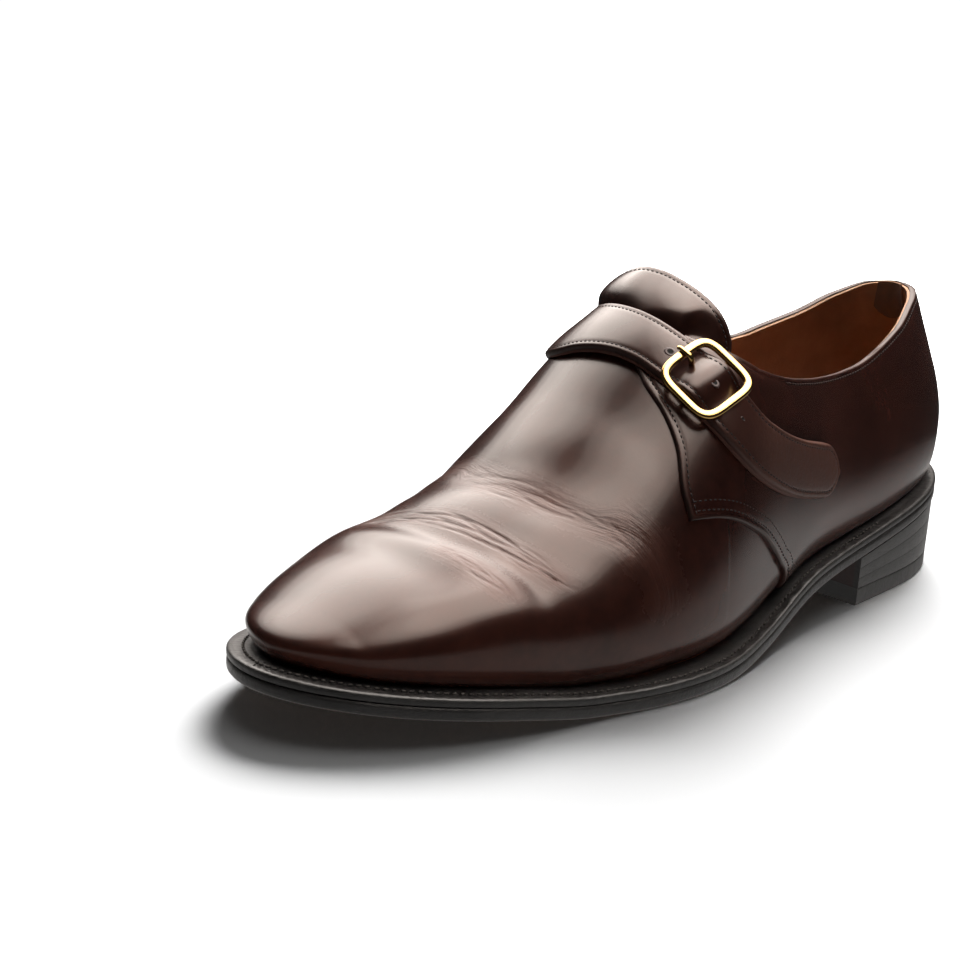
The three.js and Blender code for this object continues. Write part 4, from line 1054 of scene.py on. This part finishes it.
def stitches(name, lines, pitch, length, width, height, sunk, slant=0.0):
    """Stitches laid along lines of (points, normals): one spindle at each pitch."""
    points, faces, offset = [], [], 0
    base = loops_to_faces(*FORM.shape[:2])
    for line, normals in lines:
        run = np.concatenate([[0], np.cumsum(np.linalg.norm(np.diff(line, axis=0), axis=1))])
        stops = np.arange(pitch / 2, run[-1] - pitch / 4, pitch)
        spot = np.stack([np.interp(stops, run, line[:, k]) for k in range(3)], -1)
        ahead = np.stack([np.interp(stops + 0.3, run, line[:, k]) for k in range(3)], -1)
        behind = np.stack([np.interp(stops - 0.3, run, line[:, k]) for k in range(3)], -1)
        raised = unit(np.stack([np.interp(stops, run, normals[:, k]) for k in range(3)], -1))
        along = unit(ahead - behind)
        wide = unit(np.cross(raised, along))
        along = unit(along + wide * slant)
        wide = unit(np.cross(raised, along))
        form = (spot[:, None, None] + along[:, None, None] * FORM[None, ..., :1] * length / 2
                + wide[:, None, None] * FORM[None, ..., 1:2] * width / 2
                + raised[:, None, None] * (FORM[None, ..., 2:] * height - sunk))
        n = len(stops)
        points.append(form.reshape(-1, 3))
        faces.append((base[None] + (np.arange(n) * FORM.shape[0] * FORM.shape[1])[:, None, None]).reshape(-1, 3) + offset)
        offset += n * FORM.shape[0] * FORM.shape[1]
    return make_piece(name, np.concatenate(points), np.concatenate(faces), None, 80)


def line_on_last(places, lift):
    """Points and normals along places on the last at a height over it."""
    s, side = places[:, 0], places[:, 1]
    return on_last(s, side, lift), outward(s, side)


def inset_line(places, inside, distance):
    """Line of places moved over the last by a distance, square to itself, towards a place
    [along the shoe, side] that lies inside the panel."""
    here = last_point(*places.T)
    forward = unit(np.gradient(here, axis=0))
    sideways = unit(np.cross(outward(*places.T), forward))
    target = last_point(s_of(inside[0]), inside[1])
    hand = np.sign((sideways * (target - here)).sum())
    return step_on_last(places, sideways * hand, distance)


SEAM, LOW_SEAM = 2.1, 5.2
thread_lines = []
fine = np.linspace(0, 1, 90)
front_edge = edge_line(LATERAL_FRONT)(fine)
flap_edge = edge_line(LATERAL_FLAP)(fine)
wing_edge = edge_line(LATERAL_WING)(fine)
medial_wing_edge = edge_line(MEDIAL_WING)(fine)
OUTSIDE, INSIDE = (150, 0.5), (150, -0.5)
thread_lines.append(line_on_last(inset_line(front_edge, OUTSIDE, SEAM)[2:], QUARTER_THICK - 0.1))
for distance in (SEAM + 0.4, LOW_SEAM):
    thread_lines.append(line_on_last(inset_line(wing_edge, OUTSIDE, distance)[8:-2], QUARTER_THICK - 0.08))
    thread_lines.append(line_on_last(inset_line(medial_wing_edge, INSIDE, distance)[8:-2], QUARTER_THICK - 0.08))
thread_lines.append(line_on_last(inset_line(medial_front, INSIDE, SEAM)[2:12], QUARTER_THICK - 0.1))
collar_s = np.linspace(0.012, WING_S, 200)
for hand in (1, -1):
    collar = np.stack([collar_s, topline(hand)(collar_s)], -1)
    thread_lines.append(line_on_last(inset_line(collar, (60, hand * 0.7), 2.0), RIM_THICK + 0.04))
leather_thread = stitches("quarter_stitches", thread_lines, 1.75, 1.3, 0.5, 0.26, 0.04)

# %% Strap stitches
tip_q = STRAP_END * (1 - (1 - np.linspace(0, 1, 500)) ** 1.3)


def strap_seam_line(distance):
    """Seam a fixed way in from the strap's edge: out along the front, round the tip and back."""
    here_, _, _, sideways = strap_frame(tip_q)
    end = strap_centre(np.array([float(STRAP_END)]))
    reach = np.linalg.norm(here_ - end, axis=1)
    radius = STRAP_TIP_ROUND - distance
    in_round = 1 - np.clip((reach - distance) / radius, 0, 1)
    half = (strap_half(tip_q) - distance) * np.sqrt(np.maximum(0, 1 - in_round ** 2))
    place = np.stack([s_of(strap_at(tip_q)), strap_side(tip_q)], -1)
    keep = reach > distance
    front = step_on_last(place[keep], sideways[keep], half[keep])
    rear = step_on_last(place[keep], sideways[keep], -half[keep])
    q = tip_q[keep]
    return np.concatenate([front, rear[::-1]]), np.concatenate([q, q[::-1]])


seam, seam_q = strap_seam_line(2.0)
seam_row = 28 + 30 * (1 - (1 - seam_q / STRAP_END) ** (1 / 1.3))
seam_onto = ease((seam_row - 24) / 13)
seam_bump = STRAP_BUMP * ease(1 - np.linalg.norm(strap_centre(seam_q) - buckle_origin, axis=1) / STRAP_BUMP_RUN)
seam_lift = QUARTER_THICK + (STRAP_TOP - 0.2 + 0.35 * 0.8 - QUARTER_THICK) * seam_onto + seam_bump - 0.25
strap_thread = stitches("strap_stitches", [line_on_last(seam, seam_lift)], 1.75, 1.3, 0.5, 0.26, 0.04)

# %% Tongue and welt stitches
tongue_edge = tongue_high[6:-6]
tongue_seam = inset_line(tongue_edge, (175, 0.0), 2.0)
tongue_lift = tongue_face(tongue_seam[:, 0], tongue_seam[:, 1], None) - 0.1
tongue_thread = stitches("tongue_stitches", [line_on_last(tongue_seam, tongue_lift)], 1.75, 1.3, 0.5, 0.26, 0.04)
ring = sole_ring(WELT_STITCH_INSET, 400)
welt_line = np.stack([ring[:, 0], ring[:, 1], underside(ring[:, 2]) + 6.3], -1)
keep = ring[:, 2] > 66
start = int(np.argmax(keep))
stop = len(keep) - int(np.argmax(keep[::-1]))
welt_line = welt_line[start:stop]
upright = np.tile([0.0, 0.0, 1.0], (len(welt_line), 1))
welt_thread = stitches("welt_stitches", [(welt_line, upright)], WHEEL_PITCH, 1.75, 0.8, 0.5, 0.0, slant=0.22)

# %% [markdown]
# ## Writing shader maths as Python
# A material is a graph of nodes. One small class wraps a socket, so that an expression such as
# 1 - mask * 0.5 adds the Math nodes it needs. Every other node comes from one method that takes
# the node's type, its settings and the values or links of its sockets.

# %% Shader helpers
class Value:
    """A number that varies over the surface: each operator adds one Math node."""

    def __init__(self, recipe, socket):
        self.recipe, self.socket = recipe, socket

    def math(self, operation, *others):
        return self.recipe.node("ShaderNodeMath", {"operation": operation}, dict(enumerate(others)))

    def __add__(self, other):
        return self.math("ADD", self, other)

    def __sub__(self, other):
        return self.math("SUBTRACT", self, other)

    def __rsub__(self, other):
        return self.math("SUBTRACT", other, self)

    def __mul__(self, other):
        return self.math("MULTIPLY", self, other)

    def __truediv__(self, other):
        return self.math("DIVIDE", self, other)

    def __pow__(self, other):
        return self.math("POWER", self, other)

    __radd__ = __add__
    __rmul__ = __mul__

    def least(self, other):
        return self.math("MINIMUM", self, other)

    def most(self, other):
        return self.math("MAXIMUM", self, other)

    def between(self, low, high):
        """0 below low and 1 above high, smooth between them."""
        return self.recipe.node("ShaderNodeMapRange", {"interpolation_type": "SMOOTHSTEP"},
                                {"Value": self, "From Min": low, "From Max": high})


class Recipe:
    """One material under construction."""

    def __init__(self, name):
        self.material = bpy.data.materials.new(name)
        self.material.use_nodes = True
        self.tree = self.material.node_tree
        self.tree.nodes.clear()
        self.place = self.node("ShaderNodeTexCoord", {}, {}, "Object")

    def node(self, kind, settings=None, values=None, out=0):
        """Adds a node: settings first, then each socket gets its value or its link."""
        node = self.tree.nodes.new(kind)
        for key, value in (settings or {}).items():
            setattr(node, key, value)
        for key, value in (values or {}).items():
            if isinstance(value, Value):
                self.tree.links.new(value.socket, node.inputs[key])
            else:
                node.inputs[key].default_value = value
        return Value(self, node.outputs[out])

    def field(self, name):
        """A number stored on the piece's points."""
        return self.node("ShaderNodeAttribute", {"attribute_name": name}, {}, "Fac")

    def noise(self, scale, detail=3.0, rough=0.55, stretch=None):
        """Soft cloudy noise, scale in waves per metre."""
        vector = self.place
        if stretch:
            vector = self.node("ShaderNodeMapping", {}, {"Vector": vector, "Scale": stretch})
        return self.node("ShaderNodeTexNoise", {}, {
            "Vector": vector, "Scale": scale, "Detail": detail, "Roughness": rough}, "Fac")

    def cells(self, scale, feature="F1", out="Distance"):
        """Small cells like the pebbles of leather grain."""
        return self.node("ShaderNodeTexVoronoi", {"feature": feature}, {"Vector": self.place, "Scale": scale}, out)

    def colour(self, share, low, high):
        """Colour between two colours by a share."""
        mixer = self.tree.nodes.new("ShaderNodeMix")
        mixer.data_type = "RGBA"
        for index, value in ((0, share), (6, low), (7, high)):
            if isinstance(value, Value):
                self.tree.links.new(value.socket, mixer.inputs[index])
            else:
                mixer.inputs[index].default_value = value if index == 0 else (*value, 1.0)
        return Value(self, mixer.outputs[2])

    def bump(self, height, distance, strength=1.0, under=None):
        """Normal of a surface raised by height times distance in metres."""
        values = {"Height": height, "Distance": distance, "Strength": strength}
        if under is not None:
            values["Normal"] = under
        return self.node("ShaderNodeBump", {}, values)

    def finish(self, **values):
        """Closes the recipe with one Principled shader; names use _ for a space."""
        shader = self.tree.nodes.new("ShaderNodeBsdfPrincipled")
        for key, value in values.items():
            socket = shader.inputs[key.replace("_", " ")]
            if isinstance(value, Value):
                self.tree.links.new(value.socket, socket)
            else:
                socket.default_value = (*value, 1.0) if isinstance(value, tuple) else value
        output = self.tree.nodes.new("ShaderNodeOutputMaterial")
        self.tree.links.new(shader.outputs[0], output.inputs[0])
        return self.material


def coat_with(material, slot, *pieces):
    """Gives pieces one material; slot is not used."""
    for piece in pieces:
        piece.data.materials.clear()
        piece.data.materials.append(material)


# %% [markdown]
# ## Polished brown leather
# The leather is dyed a dark red brown and burnished: nearly black in the creases and along the
# edges, warmer where light wear has lifted the polish. On the strap's free end a painted
# highlight lightens the colour. A clear wax coat gives the wide soft shine, and it breaks up over
# the fine grain where the leather has been bent.

# %% Leather
def leather(name, strap_end_grain_and_highlight=False):
    """Burnished calf: cloudy red brown, dark edges, and grain that shows at the creases; on the strap's free end the
    grain shows and a painted highlight lightens the colour.
    """
    r = Recipe(name)
    clouds = r.noise(26, 4, 0.6)
    mottle = r.noise(140, 3, 0.6)
    fine = r.noise(1500, 2, 0.6)
    side, rim = r.field("side"), r.field("rim")
    tone = (clouds.between(0.34, 0.7) * 0.65 + mottle.between(0.35, 0.7) * 0.35)
    warm = r.colour(tone, (0.027, 0.0076, 0.0054), (0.051, 0.0138, 0.0086))
    colour = r.colour(rim * 0.75, warm, (0.012, 0.0042, 0.0034))
    if strap_end_grain_and_highlight:
        bend_and_highlight = r.field("strap")
        # Painted highlight: the strap's free end is lifted to a lighter red brown.
        colour = r.colour(bend_and_highlight * 0.6, colour, (0.075, 0.03, 0.021))
        wrinkle = r.noise(420, 5, 0.7)
    else:
        bend_and_highlight = r.field("crease")
        lanes = r.node("ShaderNodeCombineXYZ", {}, {"X": r.field("lane") * 0.85, "Y": side * 6.0, "Z": clouds * 2.0})
        wrinkle = r.node("ShaderNodeTexNoise", {}, {"Vector": lanes, "Scale": 1.0, "Detail": 5.0, "Roughness": 0.66}, "Fac")
    # Warm scuffs where the leather creases are wear; on the strap's free end they add to the painted highlight.
    scuffs_and_highlight = bend_and_highlight * clouds.between(0.35, 0.75)
    colour = r.colour(scuffs_and_highlight * 0.45, colour, (0.085, 0.024, 0.014))
    pebbles = r.cells(900, "SMOOTH_F1")
    rough = 0.2 + mottle * 0.07 + bend_and_highlight * (0.24 if strap_end_grain_and_highlight else 0.07) + scuffs_and_highlight * 0.05 + fine * 0.03 + rim * 0.3
    skin = r.bump(fine, 0.00006, 0.2)
    skin = r.bump(wrinkle, 0.0007, bend_and_highlight * (0.3 if strap_end_grain_and_highlight else 0.5), skin)
    skin = r.bump(pebbles, 0.0002, bend_and_highlight * 0.25 + 0.01, skin)
    return r.finish(Base_Color=colour, Roughness=rough, Specular_IOR_Level=0.2, Normal=skin,
                    Specular_Tint=(1.0, 0.88, 0.8), Coat_Weight=0.2, Coat_Roughness=0.1, Coat_IOR=1.35)


upper_leather = leather("burnished_leather")
strap_leather = leather("burnished_strap_leather", True)
coat_with(upper_leather, "upper_leather", upper, outside_quarter, tongue)
coat_with(strap_leather, "strap_leather", inside_quarter, strap_layer)


def hole_leather():
    """Leather round a punched hole, and painted shade inside it: its flat floor is near black."""
    r = Recipe("punched_leather")
    mottle = r.noise(400, 3, 0.6)
    lip = r.colour(mottle, (0.02, 0.006, 0.0045), (0.045, 0.012, 0.008))
    inner = r.field("inner").between(0.3, 0.8)
    # The near black floor is painted shade: the hole is a flat disc, not cut through.
    return r.finish(Base_Color=r.colour(inner, lip, (0.002, 0.0012, 0.001)), Roughness=0.3 + inner * 0.6,
                    Specular_IOR_Level=0.2, Normal=r.bump(mottle, 0.0001, 0.4))


coat_with(hole_leather(), "strap_leather", strap_holes)

# %% [markdown]
# ## Lining, sole, heel and brass
# The tan lining is soft and nearly matt. The sole's edge is trimmed smooth, stained black and
# waxed, with small dents and brown wear where it meets the floor. The brass is polished bright.

# %% Lining leathers
def plain_leather(name, dark, light, roughness):
    """Undyed lining leather: two close shades, cloudy, with a fine nap."""
    r = Recipe(name)
    clouds = r.noise(45, 4, 0.6)
    nap = r.noise(1100, 3, 0.7)
    colour = r.colour(clouds.between(0.3, 0.7) * 0.7 + nap * 0.3, dark, light)
    return r.finish(Base_Color=colour, Roughness=nap * 0.15 + roughness, Normal=r.bump(nap, 0.0002, 0.5),
                    Specular_IOR_Level=0.35)


lining_leather = plain_leather("tan_lining_leather", (0.33, 0.145, 0.06), (0.48, 0.235, 0.11), 0.5)
coat_with(lining_leather, "lining_leather", lining, tongue_lining, sock)
tab_leather = plain_leather("brown_suede_tab", (0.15, 0.07, 0.032), (0.25, 0.125, 0.06), 0.75)
coat_with(tab_leather, "upper_leather", heel_tab)
insole_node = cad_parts["insole"]
insole_node.data.materials.clear()
insole_node.data.materials.append(lining_leather)


# %% Edges of sole, welt and heel
def waxed_edge(name, shade=(0.0095, 0.0085, 0.0082), worn=(0.11, 0.062, 0.036), wear_low=True, marks=1.0,
               breast=False):
    """Black waxed edge: fine trimming marks, dents, and brown wear along its lower corner."""
    r = Recipe(name)
    clouds = r.noise(60, 4, 0.6)
    scratches = r.noise(420, 4, 0.65, (1.0, 1.0, 6.0))
    dents = r.noise(230, 5, 0.7)
    colour = r.colour(clouds.between(0.3, 0.75), shade, tuple(2.2 * c for c in shade))
    if wear_low:
        level = r.field("level")
        bare = (1 - level.between(0.1, 0.9)) * dents.between(0.46, 0.62)
        colour = r.colour(bare * 0.8, colour, worn)
    if breast:
        colour = r.colour(r.field("breast").between(0.3, 0.9), colour, (0.022, 0.0055, 0.004))
    rough = 0.34 + clouds * 0.16 + scratches.between(0.5, 0.8) * 0.2
    skin = r.bump(scratches, 0.0003, 0.4 * marks)
    skin = r.bump(dents, 0.0011, 0.35 * marks, skin)
    return r.finish(Base_Color=colour, Roughness=rough, Specular_IOR_Level=0.28, Normal=skin,
                    Coat_Weight=0.1, Coat_Roughness=0.2)


edge_wax = waxed_edge("black_waxed_edge")
coat_with(edge_wax, "edge_leather", outsole)
coat_with(waxed_edge("black_welt", wear_low=False), "edge_leather", welt)
coat_with(waxed_edge("black_heel_lifts", wear_low=False, marks=0.3, breast=True), "heel_leather", heel_stack)


def heel_rubber():
    """Matt black rubber with a worn, dusty lower rim."""
    r = Recipe("black_heel_rubber")
    grit = r.noise(700, 4, 0.7)
    dents = r.noise(200, 4, 0.6)
    dust = (1 - r.field("level").between(0.0, 0.35)) * dents.between(0.4, 0.65)
    colour = r.colour(dust * 0.5, (0.011, 0.0105, 0.01), (0.06, 0.05, 0.042))
    return r.finish(Base_Color=colour, Roughness=grit * 0.15 + 0.45, Normal=r.bump(dents, 0.0008, 0.4),
                    Specular_IOR_Level=0.5)


coat_with(heel_rubber(), "rubber", heel_top_piece)


# %% Brass and thread
def polished_brass():
    """Bright yellow brass with the faintest haze and soft scratches."""
    r = Recipe("polished_brass")
    haze = r.noise(300, 3, 0.6)
    scratches = r.noise(900, 3, 0.6, (1.0, 4.0, 1.0))
    colour = r.colour(haze, (0.34, 0.215, 0.07), (0.43, 0.285, 0.105))
    return r.finish(Base_Color=colour, Metallic=1.0, Roughness=haze * 0.06 + 0.15,
                    Normal=r.bump(scratches, 0.00004, 0.3))


coat_with(polished_brass(), "brass", buckle, buckle_bar, prong)


def waxed_thread(name, dark, light):
    """Waxed linen thread: two shades along its twist."""
    r = Recipe(name)
    twist = r.noise(1600, 2, 0.5)
    return r.finish(Base_Color=r.colour(twist, dark, light), Roughness=twist * 0.2 + 0.55,
                    Normal=r.bump(twist, 0.0001, 0.4), Specular_IOR_Level=0.2)


dark_thread = waxed_thread("dark_brown_thread", (0.006, 0.003, 0.0026), (0.016, 0.007, 0.0055))
coat_with(dark_thread, "upper_leather", leather_thread, strap_thread, tongue_thread)
coat_with(waxed_thread("black_welt_thread", (0.02, 0.018, 0.016), (0.07, 0.06, 0.053)), "edge_leather", welt_thread)

# %% [markdown]
# ## Studio
# The shoe stands on a white table. One large softbox above and to its left makes the wide
# highlights on the toe, vamp, strap and tongue, and the table shines up into the lower walls.
# The air round it stays dim, which keeps the quarter dark and rich, so the bright backdrop far
# behind is a sheet that glows for the eye but isn't mirrored in the polish.

# %% Floor and backdrop
TABLE_RADIUS, SWEEP_RADIUS, WALL_RADIUS, WALL_HEIGHT = 0.34, 3.0, 4.0, 5.0


def stage_sheet(name, grid, glow):
    """White sheet of the studio from a grid of points in metres; glow is its own light."""
    mesh = bpy.data.meshes.new(name)
    index = np.arange(grid.shape[0] * grid.shape[1]).reshape(grid.shape[:2])
    quads = np.stack([index[:-1, :-1], index[:-1, 1:], index[1:, 1:], index[1:, :-1]], -1).reshape(-1, 4)
    mesh.from_pydata(grid.reshape(-1, 3), [], quads.tolist())
    mesh.shade_smooth()
    r = Recipe(name)
    cloud = r.noise(3, 2, 0.5)
    shade = r.colour(cloud, (0.93, 0.93, 0.93), (0.95, 0.95, 0.95))
    far = r.node("ShaderNodeVectorMath", {"operation": "LENGTH"}, {0: r.place}, "Value")
    light = r.colour(far.between(0.2, TABLE_RADIUS), (0.0, 0.0, 0.0), (1.0, 1.0, 1.0))
    mesh.materials.append(r.finish(Base_Color=shade, Roughness=0.7, Specular_IOR_Level=0.0,
                                   Emission_Color=light, Emission_Strength=glow))
    sheet = bpy.data.objects.new(name, mesh)
    bpy.context.scene.collection.objects.link(sheet)
    return sheet


around = np.linspace(0, 2 * pi, 97)


def turned(profile):
    """Profile of (distance, height) rows turned round the middle of the shoe."""
    ground = profile[:, None, :1] * np.stack([np.cos(around), np.sin(around)], -1)[None]
    return np.concatenate([ground, np.broadcast_to(profile[:, None, 1:], ground.shape[:2] + (1,))], -1)


table = stage_sheet("white_table", turned(np.array([[0.0, 0.0], [0.1, 0.0], [0.2, 0.0], [TABLE_RADIUS, 0.0]])), 0.5)
turn = np.linspace(0, pi / 2, 16)
curve = np.stack([SWEEP_RADIUS + (WALL_RADIUS - SWEEP_RADIUS) * np.sin(turn), 1 - np.cos(turn)], -1)
backdrop = stage_sheet("white_backdrop", turned(np.concatenate(
    [[[TABLE_RADIUS, 0.0]], curve, [[WALL_RADIUS, WALL_HEIGHT]]])), 1.0)
table.visible_glossy = False
backdrop.visible_glossy = False
backdrop.visible_diffuse = False
backdrop.visible_shadow = False


# %% What the polish mirrors of the table
def mirrored_table():
    """Sheet that only reflections see: white near the shoe and dark farther out."""
    sheet = stage_sheet("mirrored_table", turned(np.array([[0.0, -0.001], [0.1, -0.001], [0.34, -0.001]])), 1.0)
    r = Recipe("mirrored_table")
    flat = r.node("ShaderNodeMapping", {}, {"Vector": r.place, "Scale": (1.0, 0.6, 1.0)})
    far = r.node("ShaderNodeVectorMath", {"operation": "LENGTH"}, {0: flat}, "Value")
    across = r.node("ShaderNodeSeparateXYZ", {}, {"Vector": r.place}, "X")
    # The band under the shoe is dimmed in what the polish mirrors: a painted shadow of the shoe on the table.
    under = 1 - across.math("ABSOLUTE", across).between(0.035, 0.075)
    glow = r.colour(far.between(0.08, 0.22).most(under * 0.4), (0.85, 0.83, 0.81), (0.03, 0.03, 0.03))
    sheet.data.materials.clear()
    sheet.data.materials.append(r.finish(Base_Color=(0.0, 0.0, 0.0), Emission_Color=glow, Emission_Strength=1.0))
    sheet.visible_camera = False
    sheet.visible_diffuse = False
    sheet.visible_shadow = False
    return sheet


mirrored_table()


# %% Lights and world
def softbox(name, azimuth, elevation, distance, size, power, seen, colour=(1.0, 1.0, 1.0)):
    """Oval area light that faces the shoe; azimuth 0 is the toe side. It is three ovals, one inside
    another, so that it is brightest in its middle and its mirror image has no hard edge. Seen
    says whether it is the shine on polish or the light that falls on things."""
    a, e = radians(azimuth), radians(elevation)
    back = Vector((sin(a) * cos(e), -cos(a) * cos(e), sin(e)))
    for number, (share, scale) in enumerate(((0.5, 1.0), (0.32, 0.8), (0.18, 0.6))):
        data = bpy.data.lights.new(f"{name}_{number}", "AREA")
        data.shape, data.size, data.size_y = "ELLIPSE", size[0] * scale, size[1] * scale
        data.energy, data.color = power * share, colour
        lamp = bpy.data.objects.new(data.name, data)
        lamp.location = Vector((0, -0.02, 0.05)) + back * (distance - 0.01 * number)
        lamp.rotation_euler = back.to_track_quat("Z", "Y").to_euler()
        lamp.visible_glossy = seen == "shine"
        lamp.visible_diffuse = seen == "light"
        bpy.context.scene.collection.objects.link(lamp)


WARM = (1.0, 0.93, 0.87)
softbox("shine_left", -119, 50, 1.5, (2.3, 1.8), 72, "shine", WARM)
softbox("shine_top", 134, 74, 1.5, (2.1, 1.9), 92, "shine", WARM)
softbox("key", -152, 47, 1.5, (1.1, 0.9), 42, "light")
softbox("sky", 150, 80, 1.5, (1.6, 1.6), 3, "light")
world = bpy.data.worlds.new("studio_air")
world.use_nodes = True
world.node_tree.nodes["Background"].inputs["Color"].default_value = (1, 1, 1, 1)
world.node_tree.nodes["Background"].inputs["Strength"].default_value = 0.03
scene = bpy.context.scene
scene.world = world
scene.view_settings.view_transform = "Standard"
scene.view_settings.look = "None"

# %% [markdown]
# ## Camera
# The camera was placed by matching known points of the sole and the upper in the photograph: it
# stands close to the outside front of the shoe, a little above it, tilted by about two degrees.

# %% Camera
AZIMUTH, ELEVATION, ROLL, DISTANCE, LENS = 45.35, 14.61, 2.34, 531.7, 62.18
AIM = np.array([-44.68, -31.74, 41.53])
a, e, roll = radians(AZIMUTH), radians(ELEVATION), radians(ROLL)
back = Vector((sin(a) * cos(e), -cos(a) * cos(e), sin(e)))
right = Vector((cos(a), sin(a), 0))
top = back.cross(right)
turned_right = right * cos(roll) + top * sin(roll)
turned_top = top * cos(roll) - right * sin(roll)
lens = bpy.data.cameras.new("camera")
lens.lens, lens.sensor_width, lens.sensor_fit = LENS, 36.0, "HORIZONTAL"
lens.clip_start, lens.clip_end = 0.01, 20
camera = bpy.data.objects.new("camera", lens)
axes = Matrix((turned_right, turned_top, back)).transposed().to_4x4()
camera.matrix_world = Matrix.Translation(Vector(AIM * MM) + back * DISTANCE * MM) @ axes
scene.collection.objects.link(camera)
scene.camera = camera
